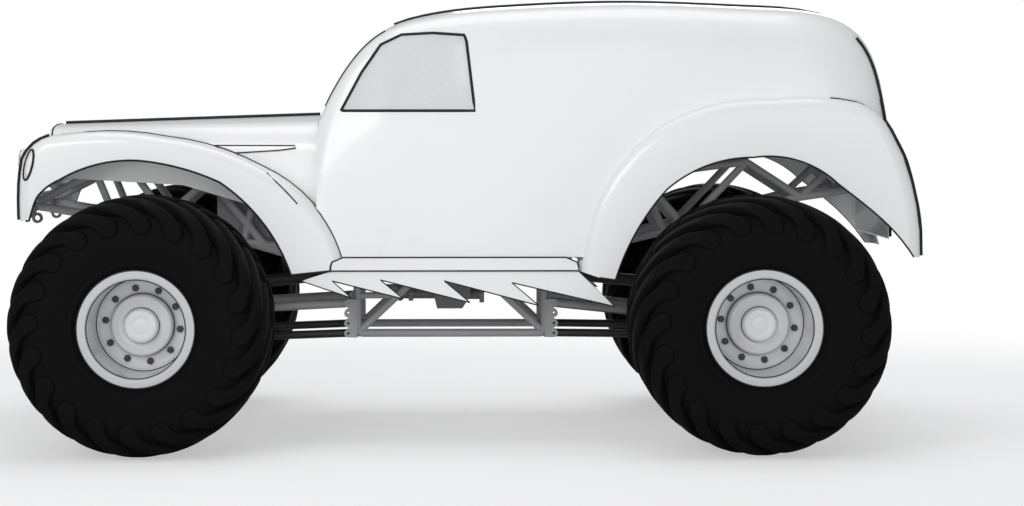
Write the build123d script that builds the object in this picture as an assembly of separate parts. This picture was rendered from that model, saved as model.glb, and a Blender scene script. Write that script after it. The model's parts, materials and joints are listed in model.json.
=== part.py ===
from build123d import *
import os
from math import atan, atan2, cos, degrees, pi, radians, sin, sqrt, tan

# Monster truck: a hollow panel-van shell carried by a welded tube frame, on two steered
# axles and four lugged terra tyres. Millimetres; +X forward, +Y left, +Z up, ground at Z 0.
# Lengths are laid out from the middle of the wheelbase and shifted to the centre on export.

# ---- driving dimensions -------------------------------------------------------------
WHEELBASE = 4000.0
TYRE_R = 838.0              # over the lugs
TYRE_W = 1090.0
TRACK_OUT = 3800.0          # over the tyres' outer faces
LUGS = 20                   # per side of one tyre
LUG_DEPTH = 48.0
TYRE_WALL = 30.0
RIM_FLANGE_R = 377.0
RIM_W = 912.0
BEAD_R = 336.0
KING_Y = 980.0              # kingpin from the centre line
STEER_DEG = 25.0
ARM = 220.0                 # kingpin to tie-rod pin
BODY_HALF = 1000.0          # over the fenders
SKIN = 8.0
NOSE_X = 2880.0
TAIL_X = -3124.0
SILL_Z = 1248.0             # top of the running boards
BOARD_Z = 1158.0            # underside of the running boards
BOARD_FRONT = 804.0
BOARD_REAR = -850.0
FRAME_Y = 420.0
CHORD_R = 28.5
WEB_R = 26.0
CROSS_R = 27.0
FIT = 0.05                  # radial clearance of turning and sliding fits
GAP = 0.3                   # between curved faces of different pieces

# ---- derived ------------------------------------------------------------------------
AXLE_X = WHEELBASE / 2
AXLE_Z = TYRE_R
SHIFT_X = -(NOSE_X + TAIL_X) / 2
TYRE_OUT_Y = TRACK_OUT / 2
WHEEL_Y = TYRE_OUT_Y - TYRE_W / 2
RIM_HALF = RIM_W / 2
SIDES = ((1, "left"), (-1, "right"))
ENDS = ((1, "front"), (-1, "rear"))


def save(name, shape):
    """Write one sub-part, shifted so that the truck's box is centred on the origin."""
    solids = shape.solids()
    body = solids[0] if len(solids) == 1 else Compound(children=solids)
    os.makedirs("parts", exist_ok=True)
    export_step(body.moved(Location((SHIFT_X, 0, 0))), "parts/" + name + ".step")


def block(x0, x1, y0, y1, z0, z1):
    size = (abs(x1 - x0), abs(y1 - y0), abs(z1 - z0))
    mid = ((x0 + x1) / 2, (y0 + y1) / 2, (z0 + z1) / 2)
    return Location(mid) * Box(*size)


def rod(a, b, r):
    """A round bar from a to b."""
    a, b = Vector(*a), Vector(*b)
    return Part(Solid.make_cylinder(r, (b - a).length, Plane(origin=a, z_dir=b - a)).wrapped)


def bent(points, r, bend):
    """One tube bent along its corner points."""
    path = FilletPolyline(*points, radius=bend)
    start = Plane(origin=path @ 0, z_dir=path % 0)
    return sweep(start * Circle(r), path=path)


def fuse(parts):
    parts = list(parts)
    return parts[0].fuse(*parts[1:]) if len(parts) > 1 else parts[0]


def side_face(points, y):
    """A closed outline given as (x, z) corners, on the plane at y."""
    return make_face(Polyline(*[(x, y, z) for x, z in points], close=True))


def side_slab(points, y0, y1):
    return extrude(side_face(points, y0), amount=y1 - y0, dir=(0, 1, 0))


def arc_chain(points, y):
    """A smooth edge chain: arcs through points taken three at a time, in (x, z)."""
    edges = []
    for i in range(0, len(points) - 2, 2):
        a, b, c = points[i:i + 3]
        edges.append(Edge.make_three_point_arc((a[0], y, a[1]), (b[0], y, b[1]), (c[0], y, c[1])))
    return edges


def line_chain(points, y):
    return [Edge.make_line((a[0], y, a[1]), (b[0], y, b[1])) for a, b in zip(points, points[1:])]


# ---- tyres --------------------------------------------------------------------------
# Cross-sections of one lug from the middle of the tread round the shoulder to its tip on the
# sidewall: across and radius of its top and of its foot, half widths of both, trail in degrees.
LUG = (
    (25, sqrt(TYRE_R ** 2 + 44 ** 2), 44, 15, TYRE_R - LUG_DEPTH, 52, 0.0),
    (TYRE_W / 2 - 165, TYRE_R - 12, 54, TYRE_W / 2 - 173, TYRE_R - 59, 64, 18.0),
    (TYRE_W / 2 - 21, TYRE_R - 72, 60, TYRE_W / 2 - 63, TYRE_R - 98, 72, 31.0),
    (TYRE_W / 2, TYRE_R - 198, 48, TYRE_W / 2 - 24, TYRE_R - 216, 60, 42.0),
)
# The bead and the inside of the casing, across and radius, in fewer corners.
CORNERS = 8
CAVITY = (
    (RIM_HALF, (BEAD_R + 1) / cos(pi / CORNERS)),
    (RIM_HALF - TYRE_WALL, RIM_FLANGE_R + TYRE_WALL),
    (TYRE_W / 2 - 50, TYRE_R - 216),
    (TYRE_W / 2 - 110, TYRE_R - 113),
)


def stitch(one, two):
    """Triangles between two closed rings of corners, each corner as (turn, point)."""
    n, m, i, j, out = len(one), len(two), 0, 0, []
    at = lambda ring, k: ring[k % len(ring)][0] + 360 * (k // len(ring))
    while i < n or j < m:
        a, b = one[i % n][1], two[j % m][1]
        if j >= m or (i < n and at(one, i + 1) <= at(two, j + 1)):
            out.append((a, one[(i + 1) % n][1], b))
            i += 1
        else:
            out.append((a, two[(j + 1) % m][1], b))
            j += 1
    return out


def tread_ring(side, k, first):
    """Foot, top, top, foot of every lug round the tyre at cross-section k."""
    y_top, r_top, h_top, y_foot, r_foot, h_foot, trail = LUG[k]
    ring = []
    for i in range(LUGS):
        mid = first + trail + 360 / LUGS * i
        rows = ((-h_foot, r_foot, y_foot), (-h_top, r_top, y_top))
        rows += ((h_top, r_top, y_top), (h_foot, r_foot, y_foot))
        for half, r, y in rows:
            turn = mid + degrees(half / r)
            spot = (r * cos(radians(turn)), side * y, r * sin(radians(turn)))
            ring.append((turn, spot))
    return ring


def plain_ring(y, r, first, count):
    turns = [first + 360 / count * i for i in range(count)]
    return [(t, (r * cos(radians(t)), y, r * sin(radians(t)))) for t in turns]


def tyre():
    """A left-hand tyre about its own middle; +Y is the outer face."""
    tris = []
    feet, bead = {}, {}
    for side in (1, -1):
        first = 270.0 if side > 0 else 270.0 + 180 / LUGS
        rings = [tread_ring(side, k, first) for k in range(len(LUG))]
        half = []
        for one, two in zip(rings, rings[1:]):
            for i in range(len(one)):
                a, b = one[i][1], one[(i + 1) % len(one)][1]
                c, d = two[(i + 1) % len(two)][1], two[i][1]
                half += [(a, b, d), (b, c, d)]
        for i in range(LUGS):
            a, b, c, d = [p for _, p in rings[0][4 * i:4 * i + 4]]
            half += [(c, b, a), (d, c, a)]
            a, b, c, d = [p for _, p in rings[-1][4 * i:4 * i + 4]]
            half += [(a, b, c), (a, c, d)]
        feet[side] = [c for i, c in enumerate(rings[0]) if i % 4 in (0, 3)]
        last = [c for i, c in enumerate(rings[-1]) if i % 4 in (0, 3)]
        trail = first + LUG[-1][-1]
        flange = (RIM_FLANGE_R + 1) / cos(pi / LUGS)
        chain = [last, plain_ring(side * RIM_HALF, flange, trail, LUGS)]
        chain += [plain_ring(side * y, r, trail, CORNERS) for y, r in CAVITY]
        for one, two in zip(chain, chain[1:]):
            half += stitch(one, two)
        tris += half if side > 0 else [t[::-1] for t in half]
        bead[side] = chain[-1]
    tris += [t[::-1] for t in stitch(feet[1], feet[-1])]
    tris += stitch(bead[1], bead[-1])
    faces = [Face(Wire.make_polygon(t, close=True)) for t in tris]
    return Part(Solid(Shell(faces)).wrapped)


# ---- wheels -------------------------------------------------------------------------
SPINDLE_R = 60.0
DISC_Y = 1410.0             # outer face of the wheel's disc, from the truck's centre line
DISC_T = 18.0
HUB_R = 200.0
CAP_R = 114.0
BOLTS, BOLT_CIRCLE, BOLT_R = 10, 242.0, 13.0
RIM_IN = WHEEL_Y - RIM_HALF
RIM_OUT = WHEEL_Y + RIM_HALF


def spun(points):
    """A solid of revolution about the axle from (radius, across) corners."""
    face = make_face(Polyline(*[(r, y, 0) for r, y in points], close=True))
    return revolve(face, Axis.Y)


def wheel():
    """Deep-dish rim, disc and planetary hub of the left wheel, about the axle's line."""
    lip, edge, wall = 9.0, 26.0, 9.0
    barrel = spun((
        (RIM_FLANGE_R, RIM_OUT), (RIM_FLANGE_R, RIM_OUT + lip), (BEAD_R - 14, RIM_OUT + lip),
        (BEAD_R - 23, RIM_OUT + lip - edge), (BEAD_R - 23, RIM_IN - lip + edge),
        (BEAD_R - 14, RIM_IN - lip), (RIM_FLANGE_R, RIM_IN - lip), (RIM_FLANGE_R, RIM_IN),
        (BEAD_R, RIM_IN), (BEAD_R, RIM_IN + 60), (BEAD_R - 23 + wall, RIM_IN + 90),
        (BEAD_R - 23 + wall, RIM_OUT - 90), (BEAD_R, RIM_OUT - 60), (BEAD_R, RIM_OUT),
    ))
    bore = SPINDLE_R + FIT
    disc = spun(((bore, DISC_Y - DISC_T), (BEAD_R - 22, DISC_Y - DISC_T),
                 (BEAD_R - 22, DISC_Y), (bore, DISC_Y)))
    hub = spun((
        (bore, DISC_Y - 190), (150, DISC_Y - 190), (150, DISC_Y - DISC_T + 4),
        (HUB_R, DISC_Y - DISC_T + 4), (HUB_R, DISC_Y + 78), (HUB_R - 14, DISC_Y + 92),
        (CAP_R, DISC_Y + 92), (CAP_R, DISC_Y + 132), (CAP_R - 16, DISC_Y + 148),
        (0, DISC_Y + 148), (0, DISC_Y + 20), (bore, DISC_Y + 20),
    ))
    bolts = []
    for i in range(BOLTS):
        turn = 2 * pi * (i + 0.5) / BOLTS
        x, z = BOLT_CIRCLE * cos(turn), BOLT_CIRCLE * sin(turn)
        bolts.append(rod((x, DISC_Y - 1, z), (x, DISC_Y + 22, z), BOLT_R))
    return fuse([barrel, disc, hub] + bolts)


# ---- steering knuckles --------------------------------------------------------------
KING_R = 24.0
KNUCKLE_HALF = 118.0        # half height between the axle's yokes
YOKE_T = 34.0
PIN_R = 14.0
ARM_Z = 70.0                # height of the tie rod above the axle
TIE_R = 17.0
EYE_HALF = 15.0
RAM_EYE_Y = 560.0
PAD_Z = ARM_Z + 40.0        # top of the pin on the tie rod that the ram's eye works


def knuckle(end, side):
    """Kingpin block, wheel spindle and steering arm; the arm points away from the cab."""
    y = side * KING_Y
    block_h = KNUCKLE_HALF - 1
    body = rod((0, y, -block_h), (0, y, block_h), 62)
    king = rod((0, y, -KNUCKLE_HALF - YOKE_T - 8), (0, y, KNUCKLE_HALF + YOKE_T + 8), KING_R)
    spindle = rod((0, y, 0), (0, side * (DISC_Y + 12), 0), SPINDLE_R)
    collar = rod((0, y, 0), (0, side * (DISC_Y - 200), 0), 96)
    top = ARM_Z - TIE_R - 5
    arm = block(0, end * ARM, y - 26, y + 26, top - 28, top)
    boss = rod((end * ARM, y, top - 28), (end * ARM, y, top), 32)
    pin = rod((end * ARM, y, top - 5), (end * ARM, y, ARM_Z + 24), PIN_R)
    return fuse([body, king, spindle, collar, arm, boss, pin])


def tie_rod(end):
    """A straight rod with an eye on each knuckle's pin and a pin for the steering ram."""
    x, z = end * ARM, ARM_Z
    bar = rod((x, -KING_Y, z), (x, KING_Y, z), TIE_R)
    eyes = [rod((x, s * KING_Y, z - EYE_HALF), (x, s * KING_Y, z + EYE_HALF), 30) for s, _ in SIDES]
    boss = rod((x, RAM_EYE_Y, z - 24), (x, RAM_EYE_Y, z + 26), 26)
    pin = rod((x, RAM_EYE_Y, z), (x, RAM_EYE_Y, PAD_Z), PIN_R)
    body = fuse([bar, boss, pin] + eyes)
    for s, _ in SIDES:
        body -= rod((x, s * KING_Y, z - 60), (x, s * KING_Y, z + 60), PIN_R + FIT)
    return body


# ---- axles --------------------------------------------------------------------------
TUBE_R = 78.0
DIFF_R = 165.0
RAM_R = 34.0
RAM_ROD_R = 15.0
RAM_HALF = 230.0
RAM_Z = PAD_Z + 0.5 + 16.0
PINION_Z = 150.0            # the pinion's height above the axle
LINK_Y = 385.0              # the links' eyes, between two ears on the axle
EAR_GAP = 40.0
# The eyes' distance towards the cab and height from the axle, by end: upper, then lower.
LINK_EYES = {1: ((150, 2), (60, -188)), -1: ((150, -60), (60, -160))}
# One ear's outline: distance away from the cab and height.
EAR = ((100, 190), (-60, 190), (-198, 60), (-198, -110), (-108, -235), (-10, -235), (100, -60))


def axle(end):
    """Housing with its differential, yokes for the kingpins, link brackets and ram barrel."""
    tube = rod((0, -KING_Y + 120, 0), (0, KING_Y - 120, 0), TUBE_R)
    bulb = rod((0, -120, 0), (0, 120, 0), DIFF_R)
    cones = [Part(Solid.make_cone(DIFF_R, TUBE_R, 150, Plane(origin=(0, s * 120, 0),
             z_dir=(0, s, 0))).wrapped) for s, _ in SIDES]
    nose = rod((0, 0, PINION_Z - 40), (-end * 250, 0, PINION_Z), 92)
    flange = rod((-end * 250, 0, PINION_Z), (-end * 268, 0, PINION_Z), 70)
    parts = [tube, bulb, nose, flange] + cones
    for s, _ in SIDES:
        y0, y1 = s * (KING_Y - 150), s * (KING_Y - 112)
        low, high = KNUCKLE_HALF, KNUCKLE_HALF + YOKE_T
        parts.append(block(-62, 62, y0, y1, -high, high))
        for z in (1, -1):
            ear = block(-62, 62, y0, s * KING_Y, z * low, z * high)
            ear += rod((0, s * KING_Y, z * low), (0, s * KING_Y, z * high), 62)
            ear -= rod((0, s * KING_Y, z * (low - 5)), (0, s * KING_Y, z * (high + 5)),
                       KING_R + FIT)
            parts.append(ear)
        # Two ears for the links and a seat for the shock, inboard of the tyres.
        ear = [(end * x, z) for x, z in EAR]
        for y in (LINK_Y - EAR_GAP - 15, LINK_Y + EAR_GAP):
            parts.append(side_slab(ear, s * y, s * (y + 15)))
    # The ram's barrel sits in two saddles ahead of the housing.
    x, z = end * ARM, RAM_Z
    barrel = rod((x, -RAM_HALF, z), (x, RAM_HALF, z), RAM_R)
    for y in (-180, 180):
        parts.append(block(0, x, y - 12, y + 12, z - 30, z + 30))
        parts.append(block(-end * 40, end * 40, y - 12, y + 12, 60, z + 30))
    parts.append(barrel)
    bore = rod((x, -RAM_HALF - 50, z), (x, RAM_HALF + 50, z), RAM_ROD_R + FIT)
    return fuse(parts) - bore


def ram_rod(end):
    """The ram's rod with the eye that works the tie rod's pin."""
    x, z = end * ARM, RAM_Z
    bar = rod((x, -RAM_HALF - 130, z), (x, RAM_EYE_Y, z), RAM_ROD_R)
    eye = rod((x, RAM_EYE_Y, z - 16), (x, RAM_EYE_Y, z + 16), 28)
    return fuse([bar, eye])


# ---- frame --------------------------------------------------------------------------
# Side trusses in (x, z) at FRAME_Y: bent chords, straight webs between their nodes, and the
# places of the cross tubes.
MID_Z = 1300.0
BELLY_Z = 695.0
BELLY_X = 645.0
LINK_SLOT = 36.0
PLATE_X = 708.0             # column of the link plates' holes
PLATE_ZS = (902, 833, 764, 695)
LOBE_R = 28.0
PLATE_HOLE_R = 10.0
BOARD_Y = 870.0
JOIN_X = 1100.0
BUMPER_X = 2845.0
FRONT_TOP = ((1280, MID_Z), (1658, 1763), (2229, 1874), (2436, 1805), (2825, 1607))
FRONT_WEBS = (
    ((1658, 1763), (1960, 1500)),
    ((2229, 1874), (1960, 1500)),
    ((2436, 1805), (2312, 1500)),
    ((1425, 1328), (1330, 1745)),
    ((1330, 1745), (1658, 1763)),
    ((1400, 1320), (BELLY_X, 1100)),
)
FRONT_LOW = ((JOIN_X, MID_Z), (1230, MID_Z), (1400, 1320), (1960, 1500), (2312, 1500),
             (2590, 1532), (BUMPER_X, 1575))
REAR_WEBS = (
    ((-1470, 1396), (-1300, 1780)),
    ((-1300, 1780), (-1613, 1430)),
    ((-1300, 1780), (-2036, 1874)),
    ((-1613, 1430), (-2036, 1874)),
    ((-2036, 1874), (-2411, 1632)),
    ((-2411, 1632), (-2610, 1815)),
    ((-2610, 1815), (-2755, 1682)),
)
REAR_LOW = ((-JOIN_X, MID_Z), (-1140, MID_Z), (-1243, 1342), (-1613, 1430), (-2411, 1632),
            (-2755, 1682))
CROSS = {
    "front": ((1400, 1320), (1960, 1500), (2312, 1500), (2229, 1874), (2436, 1805), (1658, 1763)),
    "rear": ((-1613, 1430), (-1960, 1518), (-2411, 1632), (-2036, 1874), (-2755, 1682),
             (-1300, 1780)),
    "belly": ((BELLY_X, BELLY_Z), (-BELLY_X, BELLY_Z), (1000, MID_Z), (-900, MID_Z), (0, MID_Z)),
}


def at_side(points, side):
    return [(x, side * FRAME_Y, z) for x, z in points]


def cross_tubes(where):
    return [rod((x, -FRAME_Y, z), (x, FRAME_Y, z), CROSS_R) for x, z in CROSS[where]]


def ball(x, y, z, r):
    return Location((x, y, z)) * Sphere(r)


def webs(pairs, side):
    """Straight tubes between nodes, with a rounded weld at each node."""
    parts = []
    for web in pairs:
        a, b = at_side(web, side)
        parts += [rod(a, b, WEB_R), ball(*a, WEB_R), ball(*b, WEB_R)]
    return parts


def link_plate(end, y0, y1):
    """A plate with a lobe and a hole at each height that a link can be pinned to."""
    x, low, high = end * PLATE_X, PLATE_ZS[-1] - LOBE_R, PLATE_ZS[0] + LOBE_R
    parts = [block(end * (BELLY_X + 10), x, y0, y1, low, high)]
    parts += [rod((x, y0, z), (x, y1, z), LOBE_R) for z in PLATE_ZS]
    plate = fuse(parts)
    for z in PLATE_ZS:
        plate -= rod((x, y0 - 20, z), (x, y0 + 40, z), PLATE_HOLE_R)
    return plate


def frame_belly():
    """Straight main rails, and the hanging cradle with the four-link plates at its ends."""
    parts = cross_tubes("belly")
    for side, _ in SIDES:
        y = side * FRAME_Y
        parts.append(rod((-JOIN_X, y, MID_Z), (JOIN_X, y, MID_Z), CHORD_R))
        cradle = ((-BELLY_X, MID_Z), (-BELLY_X, BELLY_Z), (BELLY_X, BELLY_Z), (BELLY_X, MID_Z))
        parts.append(bent(at_side(cradle, side), CHORD_R - 0.5, 38))
        for end in (1, -1):
            foot = end * (BELLY_X - 25)
            parts.append(rod((foot, y, BELLY_Z + 25), (0, y, MID_Z), WEB_R))
            parts += [link_plate(end, y + dy, y + dy + 10) for dy in (-LINK_SLOT - 10, LINK_SLOT)]
            y0, y1 = y - LINK_SLOT - 10, y + LINK_SLOT + 10
            low, high = PLATE_ZS[-1] - LOBE_R, PLATE_ZS[0] + LOBE_R
            parts.append(block(end * BELLY_X, end * (BELLY_X + 30), y0, y1, low, high))
        parts.append(rod((BELLY_X, y, 955), (360, y, 955), WEB_R - 4))
        # Outriggers that carry the running boards and, on them, the shell.
        for x in (700, -40, -790):
            parts.append(block(x - 25, x + 25, y, side * BOARD_Y, 1232, 1254))
            parts.append(block(x - 25, x + 25, y - 15, y + 15, 1232, MID_Z))
    return fuse(parts)


def frame_front():
    """Front clip: bent top chord, low chord and webs each side, with cross tubes."""
    parts = cross_tubes("front")
    for side, _ in SIDES:
        parts.append(bent(at_side(FRONT_LOW, side), CHORD_R, 120))
        parts.append(bent(at_side(FRONT_TOP, side), CHORD_R - 0.5, 80))
        parts += webs(FRONT_WEBS[:-1], side)
        parts.append(rod(*at_side(FRONT_WEBS[-1], side), WEB_R))
    clip = fuse(parts)
    for side, _ in SIDES:
        y = side * FRAME_Y
        clip -= rod((BELLY_X, y, 900), (BELLY_X, y, MID_Z), CHORD_R + GAP)
    return clip - block(BUMPER_X, NOSE_X, -BUMPER_Y, BUMPER_Y, *BUMPER_ZS)


def frame_rear():
    """Rear truss: rising low chord and a zigzag of webs each side, with cross tubes."""
    parts = cross_tubes("rear")
    for side, _ in SIDES:
        parts.append(bent(at_side(REAR_LOW, side), CHORD_R, 120))
        parts += webs(REAR_WEBS, side)
    return fuse(parts)


CAGE_Y = 560.0
CAGE_TOP = 2720.0
BRACE_R = 22.0


def roll_cage():
    """Two hoops over the cab tied to the main rails, with rails and braces between."""
    parts = []
    z0 = MID_Z
    for x, lean in ((560, -260), (-420, 0)):
        foot = ((x, -FRAME_Y, z0), (x, -CAGE_Y, z0 + 190), (x + lean, -CAGE_Y, CAGE_TOP))
        other = [(a, -b, c) for a, b, c in reversed(foot)]
        parts.append(bent(list(foot) + other, CHORD_R - 1, 110))
    for side, _ in SIDES:
        y = side * CAGE_Y
        parts.append(rod((300, y * 0.8, CAGE_TOP), (-420, y * 0.8, CAGE_TOP), BRACE_R))
        parts.append(rod((-420, y * 0.86, 2640), (*REAR_WEBS[0][1][:1], side * FRAME_Y,
                          REAR_WEBS[0][1][1]), BRACE_R))
        parts.append(rod((520, y, z0 + 330), (-420, y, z0 + 330), BRACE_R))
    parts.append(rod((-420, -CAGE_Y, z0 + 900), (-420, CAGE_Y, z0 + 900), BRACE_R))
    cage = fuse(parts)
    for side, _ in SIDES:
        y = side * FRAME_Y
        cage -= rod((-JOIN_X, y, MID_Z), (JOIN_X, y, MID_Z), CHORD_R + GAP)
        node = at_side(REAR_WEBS[0], side)[1]
        cage -= ball(*node, CROSS_R + GAP)
        for web in REAR_WEBS[:3]:
            cage -= rod(*at_side(web, side), WEB_R + GAP)
    x, z = REAR_WEBS[0][1]
    cage -= rod((x, -FRAME_Y, z), (x, FRAME_Y, z), CROSS_R + GAP)
    return cage


# ---- engine, transfer case, shafts --------------------------------------------------
ENGINE = (1080, 1620, -270, 270, 1320 + CROSS_R, 1900)


def engine_block():
    """Plain block at the engine's place, with its feet on the frame's low chords."""
    x0, x1, y0, y1, z0, z1 = ENGINE
    return block(x0, x1, y0, y1, z0, z1)


SHAFT_Z = 1140.0


def transfer_case():
    """Case under the middle cross tube, its pan, and the flanges of its lower outputs."""
    pan = side_slab(((120, 1010), (-134, 1010), (-134, 925), (-78, 840), (99, 840), (120, 925)),
                    -120, 120)
    case = block(-150, 150, -150, 150, 1010, MID_Z - CROSS_R)
    parts = [pan, case, rod((100, 0, 940), (374, 0, 940), 38), rod((-100, 0, 935), (-233, 0, 935), 38)]
    parts += [rod((a, 0, z), (b, 0, z), r) for a, b, z, r in
              ((268, 300, 940, 54), (345, 374, 940, 54), (-200, -233, 935, 62))]
    return fuse(parts)


def driveshafts():
    """Two shafts with square yokes, from the transfer case to the axles' noses."""
    parts = []
    for end, _ in ENDS:
        x, z = AXLE_X - 268, AXLE_Z + PINION_Z
        a, b = (end * 180, 0, SHAFT_Z), (end * (x - 32), 0, z)
        shaft = [rod(a, b, 42), rod((end * 150, 0, SHAFT_Z), (end * 200, 0, SHAFT_Z), 60)]
        shaft.append(rod((end * (x - 52), 0, z), (end * x, 0, z), 60))
        parts.append(fuse(shaft))
    return Compound(children=[s for p in parts for s in p.solids()])


def suspension_links():
    """Four-link bars, an upper and a lower each side of each axle."""
    parts = []
    for end, _ in ENDS:
        for side, _ in SIDES:
            y0, y1, x1 = side * LINK_Y, side * FRAME_Y, end * PLATE_X
            ends = zip(LINK_EYES[end], (PLATE_ZS[0], PLATE_ZS[-1]), (30, 28))
            for (back, up), z1, r in ends:
                x0, z0 = end * (AXLE_X - back), AXLE_Z + up
                bar = rod((x0, y0, z0), (x1, y1, z1), r)
                eye = rod((x0, y0 - EAR_GAP, z0), (x0, y0 + EAR_GAP, z0), 38)
                far = rod((x1, y1 - LINK_SLOT, z1), (x1, y1 + LINK_SLOT, z1), LOBE_R)
                web = block(end * BELLY_X, end * (BELLY_X + 30), y1 - 50, y1 + 50, z1 - 60, z1 + 60)
                parts.append(fuse([bar, eye, far]) - web)
    return Compound(children=[s for p in parts for s in p.solids()])


def shocks():
    """One nitrogen shock a side at each axle, leaning in to the frame's cross tube."""
    parts = []
    for end, end_name in ENDS:
        tube_x, tube_z = CROSS[end_name][1]
        tube = rod((tube_x, -FRAME_Y, tube_z), (tube_x, FRAME_Y, tube_z), CROSS_R + GAP)
        for side, _ in SIDES:
            low = Vector(end * (AXLE_X + 40), side * LINK_Y, AXLE_Z + 150)
            top = Vector(tube_x, side * (FRAME_Y - 90), tube_z)
            mid = low + (top - low) * 0.42
            body = rod(tuple(mid), tuple(top), 42)
            shaft = rod(tuple(low), tuple(top), 18)
            y = side * LINK_Y
            eye = rod((low.X, y - EAR_GAP, low.Z), (low.X, y + EAR_GAP, low.Z), 34)
            parts.append(fuse([body, shaft, eye]) - tube)
    solids = [max(p.solids(), key=lambda q: q.volume) for p in parts]
    return Compound(children=solids)


# ---- body shell ---------------------------------------------------------------------
CROWN = radians(6)
# Cross-sections of cab and load space: x, roof height, half width under the roof's shoulder,
# shoulder radius, half width at the sill.
CAB = (
    (900, 2170, 800, 60, 930),
    (790, 2400, 800, 90, 940),
    (640, 2627, 800, 120, 950),
    (480, 2775, 810, 150, 960),
    (220, 2875, 830, 190, 965),
    (-400, 2950, 850, 230, 970),
    (-1300, 2978, 860, 250, 970),
    (-2100, 2950, 850, 260, 970),
    (-2450, 2925, 840, 270, 965),
    (-2650, 2875, 800, 280, 950),
    (-2800, 2780, 740, 280, 920),
    (-2900, 2625, 680, 270, 880),
    (-2960, 2420, 620, 250, 830),
    (-2985, 2250, 580, 230, 790),
)


def arch(x, top, shoulder, r, low, base):
    """One cross-section: bowed sides, round shoulders and a lightly crowned roof."""
    z = top - 300
    for _ in range(6):
        lean = 2 * atan((low - shoulder) / (z - base))
        edge_y = shoulder - r * cos(lean) + r * sin(CROWN)
        z = top - edge_y * tan(CROWN / 2) + r * sin(lean) - r * cos(CROWN)
    edge_z = top - edge_y * tan(CROWN / 2)
    cy, cz = shoulder - r * cos(lean), z - r * sin(lean)
    turn = (lean + pi / 2 - CROWN) / 2
    mid = (cy + r * cos(turn), cz + r * sin(turn))
    bow = ((low - shoulder) ** 2 + (z - base) ** 2) / (2 * (low - shoulder))
    side = (low - bow * (1 - cos(lean / 2)), base + bow * sin(lean / 2))
    half = [(low, base), side, (shoulder, z), mid, (edge_y, edge_z)]
    ring = half + [(0, top)] + [(-a, b) for a, b in reversed(half)]
    spots = [(x, a, b) for a, b in ring]
    edges = [Edge.make_three_point_arc(*spots[i:i + 3]) for i in range(0, 10, 2)]
    return Wire(edges + [Edge.make_line(spots[-1], spots[0])])


def cab_solid(inset, base=SILL_Z, drop=0.0):
    """The cab and load space as a solid, its skin moved in by an inset."""
    rows = []
    for i, (x, top, shoulder, r, low) in enumerate(CAB):
        a, b = CAB[max(i - 1, 0)], CAB[min(i + 1, len(CAB) - 1)]
        run, rise = a[0] - b[0], b[1] - a[1]
        size = sqrt(run * run + rise * rise)
        if i == 0:
            nx, nz = 1.0, 1.0
        elif i == len(CAB) - 1:
            nx, nz = -1.0, 0.5
        else:
            nx, nz = rise / size, run / size
        rows.append(arch(x - inset * nx, top - inset * nz, shoulder - inset,
                         max(r - inset, 20), low - inset, base - drop))
    return Part(Solid.make_loft(rows).wrapped)


# Side outlines in (x, z): each list is run through by arcs, three points at a time.
POD = (
    (BOARD_REAR, 1150), (-1010, 1720), (-1400, 2130), (-1750, 2270), (-2150, 2306), (-2450, 2316),
    (-2724, 2282), (-2850, 2215), (-2935, 2090), (-3050, 1700), (TAIL_X, 1251),
)
REAR_ARCH = (
    (-1098, 1095), (-1300, 1520), (-1440, 1700), (-1660, 1840), (-2020, 1914), (-2330, 1890),
    (-2590, 1735), (-2760, 1590), (-3070, 1244),
)
FRONT_ARCH = (
    (2800, 1555), (2740, 1660), (2600, 1765), (2380, 1860), (2069, 1894), (1780, 1840),
    (1537, 1750), (1300, 1540), (1066, 1131),
)
FENDER = (
    (2868, 1500), (2874, 1700), (2850, 1905), (2760, 2015), (2600, 2066), (2290, 2088),
    (1938, 2052), (1600, 1985), (1272, 1850), (1010, 1680), (872, 1530), (780, 1380), (728, 1244),
)
POD_FOOT = ((-992, 1111), (BOARD_REAR, BOARD_Z))
DEEP = 900.0


def arc_points(a, b, c, n):
    """n + 1 points along the arc from a through b to c, all as (x, z)."""
    d = 2 * (a[0] * (b[1] - c[1]) + b[0] * (c[1] - a[1]) + c[0] * (a[1] - b[1]))
    if abs(d) < 1e-6 * abs(c[0] - a[0]) ** 2 + 1e-6:
        return [(a[0] + (c[0] - a[0]) * k / n, a[1] + (c[1] - a[1]) * k / n) for k in range(n + 1)]
    sq = [p[0] ** 2 + p[1] ** 2 for p in (a, b, c)]
    ux = (sq[0] * (b[1] - c[1]) + sq[1] * (c[1] - a[1]) + sq[2] * (a[1] - b[1])) / d
    uz = (sq[0] * (c[0] - b[0]) + sq[1] * (a[0] - c[0]) + sq[2] * (b[0] - a[0])) / d
    r = sqrt((a[0] - ux) ** 2 + (a[1] - uz) ** 2)
    turns = [atan2(p[1] - uz, p[0] - ux) for p in (a, b, c)]
    span = (turns[2] - turns[0]) % (2 * pi)
    if (turns[1] - turns[0]) % (2 * pi) > span:
        span -= 2 * pi
    steps = [turns[0] + span * k / n for k in range(n + 1)]
    return [(ux + r * cos(t), uz + r * sin(t)) for t in steps]


def smooth(points, n=5):
    out = [points[0]]
    for i in range(0, len(points) - 2, 2):
        out += arc_points(*points[i:i + 3], n)[1:]
    return out


def curve_face(points, y, floor=None):
    """A face in a side view: arcs through the points, closed by straight lines."""
    edges = arc_chain(points, y)
    tail = [points[-1]] + list(floor or ()) + [points[0]]
    return make_face(Wire(edges + line_chain(tail, y)))


def arch_hole(points, floor, y0, y1):
    return extrude(curve_face(points, y0, floor), amount=y1 - y0, dir=(0, 1, 0))


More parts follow.
